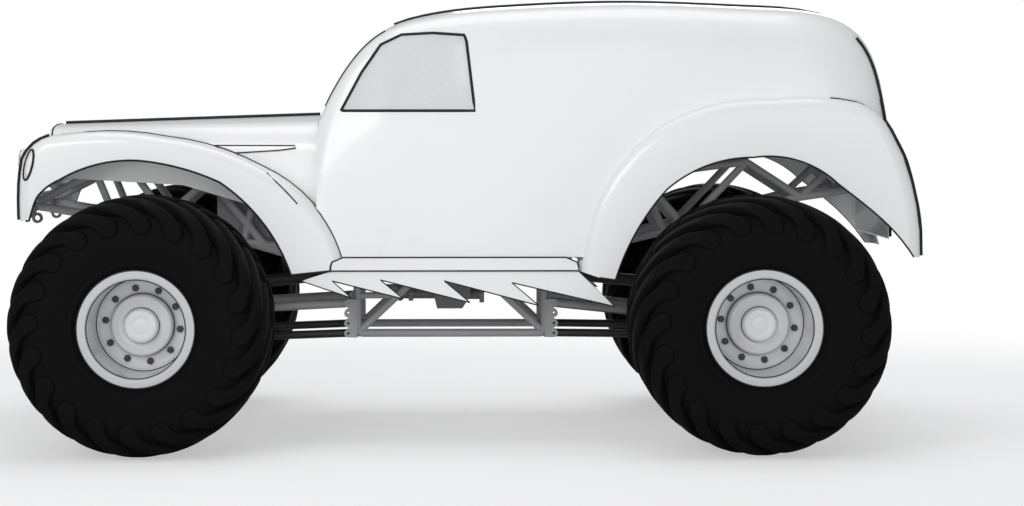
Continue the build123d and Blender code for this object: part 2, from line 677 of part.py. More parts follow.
def inset_outline(points, t):
    """The same outline moved in by t, corner by corner."""
    n, out = len(points), []
    area = sum(points[i][0] * points[(i + 1) % n][1] - points[(i + 1) % n][0] * points[i][1]
               for i in range(n))
    s = 1 if area > 0 else -1
    for i in range(n):
        (ax, az), (bx, bz), (cx, cz) = points[i - 1], points[i], points[(i + 1) % n]
        l1 = sqrt((bx - ax) ** 2 + (bz - az) ** 2)
        l2 = sqrt((cx - bx) ** 2 + (cz - bz) ** 2)
        n1 = (-(bz - az) / l1 * s, (bx - ax) / l1 * s)
        n2 = (-(cz - bz) / l2 * s, (cx - bx) / l2 * s)
        k = max(1 + n1[0] * n2[0] + n1[1] * n2[1], 0.5)
        out.append((bx + t * (n1[0] + n2[0]) / k, bz + t * (n1[1] + n2[1]) / k))
    return out


def outline_wire(points, y):
    return Wire.make_polygon([(x, y, z) for x, z in points], close=True)


def pod_solid(points, y0, y1, round_r):
    """A slab in a side view whose outer edge is rounded over in four steps."""
    s = 1 if y1 > y0 else -1
    wires = [outline_wire(points, y0)]
    for k in range(5):
        turn = pi / 2 * k / 4
        y = y1 - s * round_r * (1 - sin(turn))
        wires.append(outline_wire(inset_outline(points, round_r * (1 - cos(turn))), y))
    return Part(Solid.make_loft(wires, ruled=True).wrapped)


def rear_pod(side):
    y0, y1 = side * 700, side * BODY_HALF
    curve = smooth(POD)
    outline = [(curve[0][0], DEEP)] + curve + [(TAIL_X, DEEP)]
    outer = pod_solid(outline, y0, y1, 90)
    inner = pod_solid(inset_outline(outline, SKIN), y0 - side * 5, y1 - side * SKIN, 90 - SKIN)
    return outer, inner


def body_shell():
    """Cab, load space and rear pods in one hollow skin, with the arches and the glass cut."""
    skin = cab_solid(0)
    hollow = cab_solid(SKIN, drop=20)
    cuts = []
    for side, _ in SIDES:
        outer, inner = rear_pod(side)
        skin = skin + outer
        hollow = hollow + inner
    front, back = REAR_ARCH[0][0], REAR_ARCH[-1][0]
    low, tail = REAR_ARCH[0][1], REAR_ARCH[-1][1]
    shell = skin - hollow
    shell -= arch_hole(REAR_ARCH, ((back, DEEP - 20), (front, DEEP - 20)), -1100, 1100)
    shell -= side_slab(((front - 1, DEEP - 20), (front - 1, low), *POD_FOOT, (0, BOARD_Z),
                        (0, DEEP - 20)), -1100, 1100)
    shell -= block(TAIL_X - 10, back + 1, -1100, 1100, DEEP - 20, tail)
    # The main rails pass under the firewall.
    shell -= block(850, 910, -500, 500, SILL_Z - 10, MID_Z + 50)
    return shell


# Splits between the moulded panels.
ROOF_Z = 2790.0
COWL_X = 560.0
TAIL_SPLIT = -2740.0
# Glass: windscreen by height and half width, side window corners in (x, z).
SCREEN = (2262, 2760, 690)
SIDE_GLASS = ((737, 2225), (600, 2480), (470, 2668), (330, 2735), (120, 2746), (-90, 2732),
              (-105, 2690), (-160, 2225))
REAR_GLASS = (2330, 2640, 60, 420)


def glass_cutters():
    z0, z1, y = SCREEN
    screen = block(420, 1200, -y, y, z0, z1)
    sides = side_slab(SIDE_GLASS, -1200, 1200)
    z2, z3, y2, y3 = REAR_GLASS
    rear = [block(-3200, -2700, s * y2, s * y3, z2, z3) for s, _ in SIDES]
    return screen, sides, rear


# x, half width, height of the crown, radius of the shoulders, lower edge.
HOOD = ((2737, 430, 2134, 150, 1770), (1820, 580, 2165, 190, 1720), (900, 730, 2196, 230, 1450))
# Spear on each side of the hood, in (x, z): its lower edge runs out on the fender's top.
SPEAR = ((1049, 1974), (1056, 1990), (1720, 1990), (1720, 1936), (1437, 1941), (1165, 1958))
SPEAR_T = 9.0


def hood():
    """Round-topped hood that widens back to the cowl."""
    outer, inner = [], []
    for x, half, top, r, low in HOOD:
        outer.append(hood_section(x, half, top, r, low))
        inner.append(hood_section(x, half - SKIN, top - SKIN, r - SKIN, low - 10))
    solid = Part(Solid.make_loft(outer, ruled=True).wrapped)
    return solid + spear(solid) - Part(Solid.make_loft(inner, ruled=True).wrapped)


def spear(solid):
    """A raised moulding on both sides of the hood, clear of the fenders' tops."""
    rows = [hood_section(x, half + SPEAR_T, top + SPEAR_T, r + SPEAR_T, low)
            for x, half, top, r, low in HOOD]
    proud = Part(Solid.make_loft(rows, ruled=True).wrapped) - solid
    curve = smooth(FENDER)
    fender = inset_outline([(curve[0][0], DEEP)] + curve + [(curve[-1][0], DEEP)], -4)
    return (proud & side_slab(SPEAR, -BODY_HALF, BODY_HALF)) - side_slab(fender, -1100, 1100)


def hood_section(x, half, top, r, low):
    crown = radians(8)
    edge_y = half - r + r * sin(crown)
    edge_z = top - edge_y * tan(crown / 2)
    z = edge_z - r * cos(crown)
    turn = (pi / 2 - crown) / 2
    mid = (half - r + r * cos(turn), z + r * sin(turn))
    right = [(half, low), (half, z), mid, (edge_y, edge_z)]
    ring = [(x, a, b) for a, b in right + [(0, top)] + [(-a, b) for a, b in reversed(right)]]
    edges = [Edge.make_line(ring[0], ring[1]), Edge.make_three_point_arc(*ring[1:4])]
    edges += [Edge.make_three_point_arc(*ring[3:6]), Edge.make_three_point_arc(*ring[5:8])]
    edges += [Edge.make_line(ring[7], ring[8]), Edge.make_line(ring[8], ring[0])]
    return Wire(edges)


def front_fenders():
    """Pontoon fenders: rounded outside, their inner edges against the hood's sides."""
    (x0, h0, _, _, _), (x1, h1, _, _, _) = HOOD[:2]
    ahead = (3000, h0 + (h1 - h0) / (x0 - x1) * (x0 - 3000))
    wedge = [ahead] + [(x, half) for x, half, _, _, _ in HOOD]
    plan = [(a, b, 1000) for a, b in wedge] + [(a, -b, 1000) for a, b in reversed(wedge)]
    middle = extrude(make_face(Polyline(*plan, close=True)), amount=1600, dir=(0, 0, 1))
    cab = cab_solid(-1.2)
    parts = []
    curve = smooth(FENDER)
    outline = [(curve[0][0], DEEP)] + curve + [(curve[-1][0], DEEP)]
    front, lip = FRONT_ARCH[0]
    back, low = FRONT_ARCH[-1]
    for side, _ in SIDES:
        y0, y1 = side * 380, side * BODY_HALF
        outer = pod_solid(outline, y0, y1, 80)
        inner = pod_solid(inset_outline(outline, SKIN), y0 - side * 5, y1 - side * SKIN, 72)
        part = outer - inner - middle - cab
        part -= arch_hole(FRONT_ARCH, ((back, DEEP - 20), (front, DEEP - 20)), -1100, 1100)
        part -= block(0, back + 1, -1100, 1100, DEEP - 20, low)
        part -= block(0, BOARD_FRONT, -1100, 1100, DEEP - 20, BOARD_Z)
        part -= side_slab(((0, BOARD_Z),) + BOARD_END + ((0, SILL_Z),), -1100, 1100)
        part -= side_slab(((back + 1, DEEP), (back + 1, low), (BOARD_FRONT, BOARD_Z),
                           (BOARD_FRONT, DEEP)), -1100, 1100)
        part -= block(BUMPER_X, NOSE_X, -BUMPER_Y, BUMPER_Y, *BUMPER_ZS)
        part -= rod((2700, side * LAMP_Y, LAMP_Z), (2900, side * LAMP_Y, LAMP_Z), LAMP_R + GAP)
        part -= block(front - 1, 3000, -1100, 1100, DEEP - 20, lip)
        parts.append(part)
    return Compound(children=[s for p in parts for s in p.solids() if s.volume > 1e5])


# The running board's front end in (x, z), stepped down to the fender; the rear end mirrors it.
BOARD_END = ((BOARD_FRONT, BOARD_Z), (BOARD_FRONT, BOARD_Z + 27), (BOARD_FRONT - 9, BOARD_Z + 58),
             (BOARD_FRONT - 84, SILL_Z))


def running_boards():
    parts = []
    shift = BOARD_FRONT + BOARD_REAR
    edge = list(BOARD_END) + [(shift - x, z) for x, z in reversed(BOARD_END)]
    for side, _ in SIDES:
        parts.append(side_slab(edge, side * BOARD_Y, side * BODY_HALF))
    return Compound(children=[s for p in parts for s in p.solids()])


# Saw-toothed skirt under the running boards, from the front: tips and notches in (x, z).
TEETH = ((999, 1091), (666, 978), (793, 1091), (320, 971), (473, 1098), (-127, 945),
         (47, 1091), (-586, 925), (-406, 1078), (-1092, 918))


def side_skirts():
    parts = []
    for side, _ in SIDES:
        edge = ((BOARD_REAR, BOARD_Z), (BOARD_FRONT, BOARD_Z)) + TEETH
        parts.append(side_slab(edge, side * 984, side * 990))
    return Compound(children=[s for p in parts for s in p.solids()])


LAMP_Y, LAMP_Z, LAMP_R = 830.0, 1872.0, 98.0
BUMPER_Y = 700.0
BUMPER_ZS = (1540.0, 1660.0)


def grille():
    """Upright bars in a rim that follows the hood's front edge."""
    x, half, top, r, _ = HOOD[0]
    rim = extrude(make_face(hood_section(x, half - 1.5, top - 1, r, 1690)), amount=8, dir=(1, 0, 0))
    mouth = make_face(hood_section(x - 5, half - 40, top - 40, r - 20, 1730))
    mouth = extrude(mouth, amount=60, dir=(1, 0, 0))
    bars = [block(x, x + 30, y - 9, y + 9, 1700, 2120) for y in range(-360, 361, 60)]
    inner = make_face(hood_section(x - 5, half - 20, top - 20, r - 10, 1700))
    inner = extrude(inner, amount=60, dir=(1, 0, 0))
    return fuse([rim - mouth] + [bar & inner for bar in bars])


def headlamps():
    parts = []
    for side, _ in SIDES:
        y = side * LAMP_Y
        can = rod((2770, y, LAMP_Z), (2862, y, LAMP_Z), LAMP_R)
        lens = rod((2862, y, LAMP_Z), (2874, y, LAMP_Z), LAMP_R - 12)
        parts.append(can + lens)
    return Compound(children=[s for p in parts for s in p.solids()])


def front_bumper():
    bar = block(BUMPER_X, NOSE_X, -BUMPER_Y, BUMPER_Y, *BUMPER_ZS)
    return bar


TOW_R, TOW_HOLE_R, TOW_T = 36.0, 18.0, 30.0
TOW_FRONT = (2838.0, 1492.0)
TOW_REAR_X = -2822.0


def tow_eyes():
    """An eye at each corner: upright under the bumper, lying flat on the rear truss's end."""
    parts = []
    for side, _ in SIDES:
        y0, y1 = side * FRAME_Y - TOW_T / 2, side * FRAME_Y + TOW_T / 2
        x, z = TOW_FRONT
        front = rod((x, y0, z), (x, y1, z), TOW_R)
        front += block(BUMPER_X, NOSE_X, y0, y1, z, BUMPER_ZS[0])
        parts.append(front - rod((x, y0 - 5, z), (x, y1 + 5, z), TOW_HOLE_R))
        y = side * FRAME_Y
        end_x, end_z = REAR_LOW[-1]
        low, high = end_z - TOW_T / 2, end_z + TOW_T / 2
        rear = rod((TOW_REAR_X, y, low), (TOW_REAR_X, y, high), TOW_R)
        rear += block(TOW_REAR_X, end_x, y - TOW_R, y + TOW_R, low, high)
        rear -= bent(at_side(REAR_LOW, side), CHORD_R + GAP, 120)
        rear -= rod((end_x, -FRAME_Y, end_z), (end_x, FRAME_Y, end_z), CROSS_R + GAP)
        for web in REAR_WEBS[-1:]:
            rear -= rod(*at_side(web, side), WEB_R + GAP)
            rear -= ball(*at_side(web, side)[1], WEB_R + GAP)
        parts.append(rear - rod((TOW_REAR_X, y, low - 5), (TOW_REAR_X, y, high + 5), TOW_HOLE_R))
    return Compound(children=[max(p.solids(), key=lambda q: q.volume) for p in parts])


def cab_floor():
    """Flat floor of the cab on the main rails, notched for the cage's feet."""
    floor = block(-900, 880, -800, 800, MID_Z + CHORD_R, MID_Z + CHORD_R + 6)
    for side, _ in SIDES:
        for x in (560, -420):
            floor -= block(x - 45, x + 45, side * 380, side * 500, MID_Z, MID_Z + 60)
    return floor


def seat():
    base = block(-260, 260, -250, 250, MID_Z + CHORD_R + 6, 1560)
    back = block(-330, -200, -260, 260, 1560, 2380)
    return fuse([base, back])


def steering_wheel():
    rim = Location((430, 0, 1960), (0, -62, 0)) * Torus(170, 14)
    column = rod((430, 0, 1960), (940, 0, 1687), 20) - block(900 - SKIN, 1000, -50, 50, 1500, 1900)
    bar = rod((430, -168, 1960), (430, 168, 1960), 10)
    return fuse([rim, column, bar])


def main():
    tyre_left = Location((0, WHEEL_Y, 0)) * tyre()
    tyre_right = mirror(tyre_left, about=Plane.XZ)
    wheel_left = wheel()
    wheel_right = mirror(wheel_left, about=Plane.XZ)
    for end, end_name in ENDS:
        place = Location((end * AXLE_X, 0, AXLE_Z))
        save("axle_" + end_name, place * axle(end))
        save("tie_rod_" + end_name, place * tie_rod(end))
        save("ram_rod_" + end_name, place * ram_rod(end))
        for side, side_name in SIDES:
            tag = end_name + "_" + side_name
            save("knuckle_" + tag, place * knuckle(end, side))
            save("wheel_" + tag, place * (wheel_left if side > 0 else wheel_right))
            save("tyre_" + tag, place * (tyre_left if side > 0 else tyre_right))
    save("frame_belly", frame_belly())
    save("frame_front", frame_front())
    save("frame_rear", frame_rear())
    save("roll_cage", roll_cage())
    save("engine_block", engine_block())
    save("transfer_case", transfer_case())
    save("driveshafts", driveshafts())
    save("suspension_links", suspension_links())
    save("shocks", shocks())
    shell = body_shell()
    screen, sides, rear = glass_cutters()
    big = 4000
    roof_box = block(-big, big, -big, big, ROOF_Z, big)
    cowl_box = block(COWL_X, big, -big, big, 0, ROOF_Z)
    tail_box = block(-big, TAIL_SPLIT, -700, 700, 0, ROOF_Z)
    open_shell = shell - [screen, sides] - rear
    save("roof_panel", open_shell & roof_box)
    save("cowl", open_shell & cowl_box)
    save("rear_doors", open_shell & tail_box)
    walls = open_shell - [roof_box, cowl_box, tail_box]
    for side, side_name in SIDES:
        half = block(-big, big, 0, side * big, 0, big)
        save("side_panel_" + side_name, walls & half)
    pane = cab_solid(1) - cab_solid(6, drop=20)
    save("windshield", pane & screen)
    save("side_windows", (pane & sides))
    save("rear_windows", pane & fuse(rear))
    save("hood", hood())
    save("front_fenders", front_fenders())
    save("running_boards", running_boards())
    save("side_skirts", side_skirts())
    save("grille", grille())
    save("headlamps", headlamps())
    save("front_bumper", front_bumper())
    save("tow_eyes", tow_eyes())
    save("cab_floor", cab_floor())
    save("seat", seat())
    save("steering_wheel", steering_wheel())


main()
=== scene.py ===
import bmesh
import bpy
import json
import math
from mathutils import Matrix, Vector
from mathutils.bvhtree import BVHTree

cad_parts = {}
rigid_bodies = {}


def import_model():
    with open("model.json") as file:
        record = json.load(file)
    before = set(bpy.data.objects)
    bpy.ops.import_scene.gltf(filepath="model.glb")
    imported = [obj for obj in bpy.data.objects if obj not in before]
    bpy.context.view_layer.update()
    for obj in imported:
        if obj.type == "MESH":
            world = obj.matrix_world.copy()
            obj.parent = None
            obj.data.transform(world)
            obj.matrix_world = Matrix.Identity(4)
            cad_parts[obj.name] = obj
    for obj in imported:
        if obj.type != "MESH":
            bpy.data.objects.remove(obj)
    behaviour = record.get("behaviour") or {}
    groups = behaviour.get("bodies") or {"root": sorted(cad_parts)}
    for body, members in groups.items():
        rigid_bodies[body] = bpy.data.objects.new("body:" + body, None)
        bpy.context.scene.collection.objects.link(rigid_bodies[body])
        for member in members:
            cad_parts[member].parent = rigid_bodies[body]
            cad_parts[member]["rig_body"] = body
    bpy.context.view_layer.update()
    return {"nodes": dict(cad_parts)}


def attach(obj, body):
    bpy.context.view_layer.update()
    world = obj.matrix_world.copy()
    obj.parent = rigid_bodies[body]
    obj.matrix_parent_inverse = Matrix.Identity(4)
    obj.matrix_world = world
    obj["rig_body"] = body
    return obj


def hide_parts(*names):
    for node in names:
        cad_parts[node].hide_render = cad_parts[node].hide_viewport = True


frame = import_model()

# ---------------------------------------------------------------------------
# Stage: a pale seamless floor, a white surround and soft studio light, with the
# camera standing level with the belt line, square to the truck's left side.
# ---------------------------------------------------------------------------
MID_X = 0.122               # middle of the wheelbase in the row frame
EYE = (MID_X, 17.85, 2.19)
FOCAL_PX, WIDE_PX, HIGH_PX = 2530.0, 1024.0, 506.0
VANISH_PX = (451.0, 116.0)  # where lines square to the side meet in the frame

scene = bpy.context.scene
scene.view_settings.view_transform = "Standard"

cam_data = bpy.data.cameras.new("Camera")
cam_data.sensor_width = 36.0
cam_data.lens = 36.0 * FOCAL_PX / WIDE_PX
cam_data.clip_end = 400.0
camera = bpy.data.objects.new("Camera", cam_data)
scene.collection.objects.link(camera)
camera.location = EYE
yaw = math.atan((VANISH_PX[0] - WIDE_PX / 2) / FOCAL_PX)
pitch = math.atan((VANISH_PX[1] - HIGH_PX / 2) / FOCAL_PX)
camera.rotation_euler = (math.radians(90) + pitch, 0.0, math.radians(180) + yaw)
scene.camera = camera

world = bpy.data.worlds.new("Surround")
scene.world = world
world.use_nodes = True
tree = world.node_tree
tree.nodes.clear()
w_out = tree.nodes.new("ShaderNodeOutputWorld")
w_mix = tree.nodes.new("ShaderNodeMixShader")
w_path = tree.nodes.new("ShaderNodeLightPath")
w_fill = tree.nodes.new("ShaderNodeBackground")
w_fill.inputs["Color"].default_value = (0.93, 0.95, 1.0, 1)
w_fill.inputs["Strength"].default_value = 0.42
w_seen = tree.nodes.new("ShaderNodeBackground")
w_seen.inputs["Color"].default_value = (1, 1, 1, 1)
w_seen.inputs["Strength"].default_value = 1.0
tree.links.new(w_path.outputs["Is Camera Ray"], w_mix.inputs["Fac"])
tree.links.new(w_fill.outputs["Background"], w_mix.inputs[1])
tree.links.new(w_seen.outputs["Background"], w_mix.inputs[2])
tree.links.new(w_mix.outputs["Shader"], w_out.inputs["Surface"])


def area_light(name, place, aim, size, power):
    """A rectangular soft box at a place, aimed at a point."""
    data = bpy.data.lights.new(name, "AREA")
    data.shape = "RECTANGLE"
    data.size, data.size_y = size
    data.energy = power
    lamp = bpy.data.objects.new(name, data)
    scene.collection.objects.link(lamp)
    lamp.location = place
    lamp.rotation_euler = (Vector(aim) - Vector(place)).to_track_quat("-Z", "Y").to_euler()
    return lamp


area_light("Key", (7.0, 13.0, 8.5), (0.0, 0.0, 1.2), (7.0, 5.0), 560.0)
area_light("Front", (0.0, 26.0, 3.0), (0.0, 0.0, 1.0), (34.0, 16.0), 2480.0)
area_light("Top", (0.0, -0.5, 12.0), (0.0, 0.0, 0.0), (9.0, 7.0), 380.0)
area_light("Rim", (-4.0, -12.0, 5.0), (0.0, 0.0, 1.5), (9.0, 5.0), 350.0)


def plain_material(name):
    """A material with one Principled shader: the material, its nodes, links and shader."""
    mat = bpy.data.materials.new(name)
    mat.use_nodes = True
    nodes, links = mat.node_tree.nodes, mat.node_tree.links
    nodes.clear()
    out = nodes.new("ShaderNodeOutputMaterial")
    shader = nodes.new("ShaderNodeBsdfPrincipled")
    links.new(shader.outputs["BSDF"], out.inputs["Surface"])
    return mat, nodes, links, shader


def mesh_piece(name, verts, faces, body=None, smooth=None):
    """A mesh in the scene; with a body it rides there and its faces look outwards."""
    mesh = bpy.data.meshes.new(name)
    mesh.from_pydata(verts, [], faces)
    mesh.validate()
    if body:
        bm = bmesh.new()
        bm.from_mesh(mesh)
        bmesh.ops.recalc_face_normals(bm, faces=bm.faces)
        bm.to_mesh(mesh)
        bm.free()
    mesh.update()
    piece = bpy.data.objects.new(name, mesh)
    scene.collection.objects.link(piece)
    if smooth is not None:
        mesh.polygons.foreach_set("use_smooth", [True] * len(mesh.polygons))
        mesh.set_sharp_from_angle(angle=math.radians(smooth))
    if body:
        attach(piece, body)
    return piece


FLOOR_HALF, FLOOR_CLEAR, FLOOR_END = 12.0, 5.0, 10.0
floor = mesh_piece("Floor", [(-FLOOR_HALF, -FLOOR_HALF, 0), (FLOOR_HALF, -FLOOR_HALF, 0),
                             (FLOOR_HALF, FLOOR_HALF, 0), (-FLOOR_HALF, FLOOR_HALF, 0)], [(0, 1, 2, 3)])
mat, nodes, links, shader = plain_material("studio_floor")
grain = nodes.new("ShaderNodeTexNoise")
grain.inputs["Scale"].default_value = 3.0
tone = nodes.new("ShaderNodeMapRange")
tone.inputs["To Min"].default_value = 0.90
tone.inputs["To Max"].default_value = 0.93
links.new(grain.outputs["Fac"], tone.inputs["Value"])
links.new(tone.outputs["Result"], shader.inputs["Base Color"])
shader.inputs["Roughness"].default_value = 0.9
shader.inputs["Specular IOR Level"].default_value = 0.1
glow = nodes.new("ShaderNodeEmission")
glow.inputs["Strength"].default_value = 1.05
lift = nodes.new("ShaderNodeMath")
lift.operation = "MULTIPLY"
lift.inputs[1].default_value = 0.45
path = nodes.new("ShaderNodeLightPath")
lit = nodes.new("ShaderNodeMixShader")
links.new(path.outputs["Is Camera Ray"], lift.inputs[0])
links.new(lift.outputs["Value"], lit.inputs["Fac"])
links.new(shader.outputs["BSDF"], lit.inputs[1])
links.new(glow.outputs["Emission"], lit.inputs[2])
place = nodes.new("ShaderNodeTexCoord")
reach = nodes.new("ShaderNodeVectorMath")
reach.operation = "LENGTH"
fade = nodes.new("ShaderNodeMapRange")
fade.interpolation_type = "SMOOTHSTEP"
fade.inputs["From Min"].default_value = FLOOR_CLEAR
fade.inputs["From Max"].default_value = FLOOR_END
clear = nodes.new("ShaderNodeBsdfTransparent")
edge = nodes.new("ShaderNodeMixShader")
links.new(place.outputs["Object"], reach.inputs[0])
links.new(reach.outputs["Value"], fade.inputs["Value"])
links.new(fade.outputs["Result"], edge.inputs["Fac"])
links.new(lit.outputs["Shader"], edge.inputs[1])
links.new(clear.outputs["BSDF"], edge.inputs[2])
links.new(edge.outputs["Shader"], nodes["Material Output"].inputs["Surface"])
floor.data.materials.append(mat)

# ---------------------------------------------------------------------------
# Welded tube frame and roll cage: grey powder-coated steel tube, whose coat has a
# fine orange peel, lighter wear on the edges and a little dust on upward faces.
# ---------------------------------------------------------------------------


def group(name, takes, gives):
    """An empty node group with named sockets: (name, type, default) in, (name, type) out."""
    tree = bpy.data.node_groups.new(name, "ShaderNodeTree")
    for label, kind, value in takes:
        socket = tree.interface.new_socket(name=label, in_out="INPUT", socket_type=kind)
        socket.default_value = value
    for label, kind in gives:
        tree.interface.new_socket(name=label, in_out="OUTPUT", socket_type=kind)
    return tree, tree.nodes.new("NodeGroupInput"), tree.nodes.new("NodeGroupOutput")


# Mask of rubbed edges: pointiness broken up by noise.
wear_tree, w_in, w_out = group(
    "EdgeWear",
    (("Amount", "NodeSocketFloat", 0.5), ("Scale", "NodeSocketFloat", 25.0)),
    (("Mask", "NodeSocketFloat"),),
)
geo = wear_tree.nodes.new("ShaderNodeNewGeometry")
ramp = wear_tree.nodes.new("ShaderNodeMapRange")
ramp.inputs["From Min"].default_value = 0.52
ramp.inputs["From Max"].default_value = 0.62
coord = wear_tree.nodes.new("ShaderNodeTexCoord")
noise = wear_tree.nodes.new("ShaderNodeTexNoise")
noise.inputs["Detail"].default_value = 6.0
edge = wear_tree.nodes.new("ShaderNodeMath")
edge.operation = "MULTIPLY"
gain = wear_tree.nodes.new("ShaderNodeMath")
gain.operation = "MULTIPLY"
wear_tree.links.new(geo.outputs["Pointiness"], ramp.inputs["Value"])
wear_tree.links.new(coord.outputs["Object"], noise.inputs["Vector"])
wear_tree.links.new(w_in.outputs["Scale"], noise.inputs["Scale"])
wear_tree.links.new(ramp.outputs["Result"], edge.inputs[0])
wear_tree.links.new(noise.outputs["Fac"], edge.inputs[1])
wear_tree.links.new(edge.outputs["Value"], gain.inputs[0])
wear_tree.links.new(w_in.outputs["Amount"], gain.inputs[1])
wear_tree.links.new(gain.outputs["Value"], w_out.inputs["Mask"])

# Fine surface grain as a normal, and a slow mottle for colour and roughness.
grain_tree, g_in, g_out = group(
    "Grain",
    (("Scale", "NodeSocketFloat", 400.0), ("Strength", "NodeSocketFloat", 0.1),
     ("Distance", "NodeSocketFloat", 0.0005), ("Mottle Scale", "NodeSocketFloat", 6.0)),
    (("Normal", "NodeSocketVector"), ("Mottle", "NodeSocketFloat")),
)
coord = grain_tree.nodes.new("ShaderNodeTexCoord")
fine = grain_tree.nodes.new("ShaderNodeTexNoise")
fine.inputs["Detail"].default_value = 3.0
slow = grain_tree.nodes.new("ShaderNodeTexNoise")
slow.inputs["Detail"].default_value = 5.0
bump = grain_tree.nodes.new("ShaderNodeBump")
grain_tree.links.new(coord.outputs["Object"], fine.inputs["Vector"])
grain_tree.links.new(coord.outputs["Object"], slow.inputs["Vector"])
grain_tree.links.new(g_in.outputs["Scale"], fine.inputs["Scale"])
grain_tree.links.new(g_in.outputs["Mottle Scale"], slow.inputs["Scale"])
grain_tree.links.new(fine.outputs["Fac"], bump.inputs["Height"])
grain_tree.links.new(g_in.outputs["Strength"], bump.inputs["Strength"])
grain_tree.links.new(g_in.outputs["Distance"], bump.inputs["Distance"])
grain_tree.links.new(bump.outputs["Normal"], g_out.inputs["Normal"])
grain_tree.links.new(slow.outputs["Fac"], g_out.inputs["Mottle"])

# Mask of dust that settles on faces that look up.
dust_tree, d_in, d_out = group(
    "Dust",
    (("Amount", "NodeSocketFloat", 0.3), ("Scale", "NodeSocketFloat", 9.0)),
    (("Mask", "NodeSocketFloat"),),
)
geo = dust_tree.nodes.new("ShaderNodeNewGeometry")
split = dust_tree.nodes.new("ShaderNodeSeparateXYZ")
up = dust_tree.nodes.new("ShaderNodeMapRange")
up.inputs["From Min"].default_value = 0.2
up.inputs["From Max"].default_value = 1.0
coord = dust_tree.nodes.new("ShaderNodeTexCoord")
patch = dust_tree.nodes.new("ShaderNodeTexNoise")
patch.inputs["Detail"].default_value = 8.0
both = dust_tree.nodes.new("ShaderNodeMath")
both.operation = "MULTIPLY"
gain = dust_tree.nodes.new("ShaderNodeMath")
gain.operation = "MULTIPLY"
dust_tree.links.new(geo.outputs["Normal"], split.inputs["Vector"])
dust_tree.links.new(split.outputs["Z"], up.inputs["Value"])
dust_tree.links.new(coord.outputs["Object"], patch.inputs["Vector"])
dust_tree.links.new(d_in.outputs["Scale"], patch.inputs["Scale"])
dust_tree.links.new(up.outputs["Result"], both.inputs[0])
dust_tree.links.new(patch.outputs["Fac"], both.inputs[1])
dust_tree.links.new(both.outputs["Value"], gain.inputs[0])
dust_tree.links.new(d_in.outputs["Amount"], gain.inputs[1])
dust_tree.links.new(gain.outputs["Value"], d_out.inputs["Mask"])


def finish_material(name, base, worn, rough=0.4, metal=0.0, grain=(400.0, 0.15), wear=0.6,
                    dust=0.15, dust_tone=(0.55, 0.52, 0.48), mottle=0.06, coat=0.0, coat_rough=0.1,
                    spec=0.5):
    """A coated or moulded surface with grain, a slow mottle, rubbed edges and settled dust."""
    mat, nodes, links, shader = plain_material(name)
    wear_node = nodes.new("ShaderNodeGroup")
    wear_node.node_tree = wear_tree
    wear_node.inputs["Amount"].default_value = wear
    grain_node = nodes.new("ShaderNodeGroup")
    grain_node.node_tree = grain_tree
    grain_node.inputs["Scale"].default_value = grain[0]
    grain_node.inputs["Strength"].default_value = grain[1]
    dust_node = nodes.new("ShaderNodeGroup")
    dust_node.node_tree = dust_tree
    dust_node.inputs["Amount"].default_value = dust
    dark = [c * (1 - mottle) for c in base]
    light = [min(c * (1 + mottle), 1.0) for c in base]
    tone = nodes.new("ShaderNodeMix")
    tone.data_type = "RGBA"
    tone.inputs[6].default_value = (*dark, 1)
    tone.inputs[7].default_value = (*light, 1)
    links.new(grain_node.outputs["Mottle"], tone.inputs[0])
    rub = nodes.new("ShaderNodeMix")
    rub.data_type = "RGBA"
    rub.inputs[7].default_value = (*worn, 1)
    links.new(wear_node.outputs["Mask"], rub.inputs[0])
    links.new(tone.outputs[2], rub.inputs[6])
    settle = nodes.new("ShaderNodeMix")
    settle.data_type = "RGBA"
    settle.inputs[7].default_value = (*dust_tone, 1)
    links.new(dust_node.outputs["Mask"], settle.inputs[0])
    links.new(rub.outputs[2], settle.inputs[6])
    links.new(settle.outputs[2], shader.inputs["Base Color"])
    spread = nodes.new("ShaderNodeMapRange")
    spread.inputs["To Min"].default_value = max(rough - 0.06, 0.02)
    spread.inputs["To Max"].default_value = min(rough + 0.08, 1.0)
    links.new(grain_node.outputs["Mottle"], spread.inputs["Value"])
    links.new(spread.outputs["Result"], shader.inputs["Roughness"])
    links.new(grain_node.outputs["Normal"], shader.inputs["Normal"])
    shader.inputs["Metallic"].default_value = metal
    shader.inputs["Coat Weight"].default_value = coat
    shader.inputs["Coat Roughness"].default_value = coat_rough
    shader.inputs["Specular IOR Level"].default_value = spec
    return mat


def dressed(node, mat, angle=32):
    """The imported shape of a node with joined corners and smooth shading, riding in its place."""
    source = frame["nodes"][node]
    mesh = source.data.copy()
    mesh.name = node + "_skin"
    piece = bpy.data.objects.new(node + "_skin", mesh)
    scene.collection.objects.link(piece)
    bm = bmesh.new()
    bm.from_mesh(mesh)
    bmesh.ops.remove_doubles(bm, verts=bm.verts, dist=0.00002)
    bmesh.ops.dissolve_degenerate(bm, edges=bm.edges, dist=0.00002)
    bm.to_mesh(mesh)
    bm.free()
    if mesh.attributes.get("custom_normal"):
        mesh.attributes.remove(mesh.attributes["custom_normal"])
    mesh.polygons.foreach_set("use_smooth", [True] * len(mesh.polygons))
    mesh.set_sharp_from_angle(angle=math.radians(angle))
    mesh.materials.clear()
    mesh.materials.append(mat)
    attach(piece, source["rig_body"])
    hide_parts(node)
    return piece


powder = finish_material("grey_powder_coat", (0.34, 0.34, 0.345), (0.50, 0.50, 0.50), rough=0.45,
                         grain=(900.0, 0.25), wear=0.5, dust=0.12)
for node in ("frame_belly", "frame_front", "frame_rear", "roll_cage"):
    dressed(node, powder, 40)

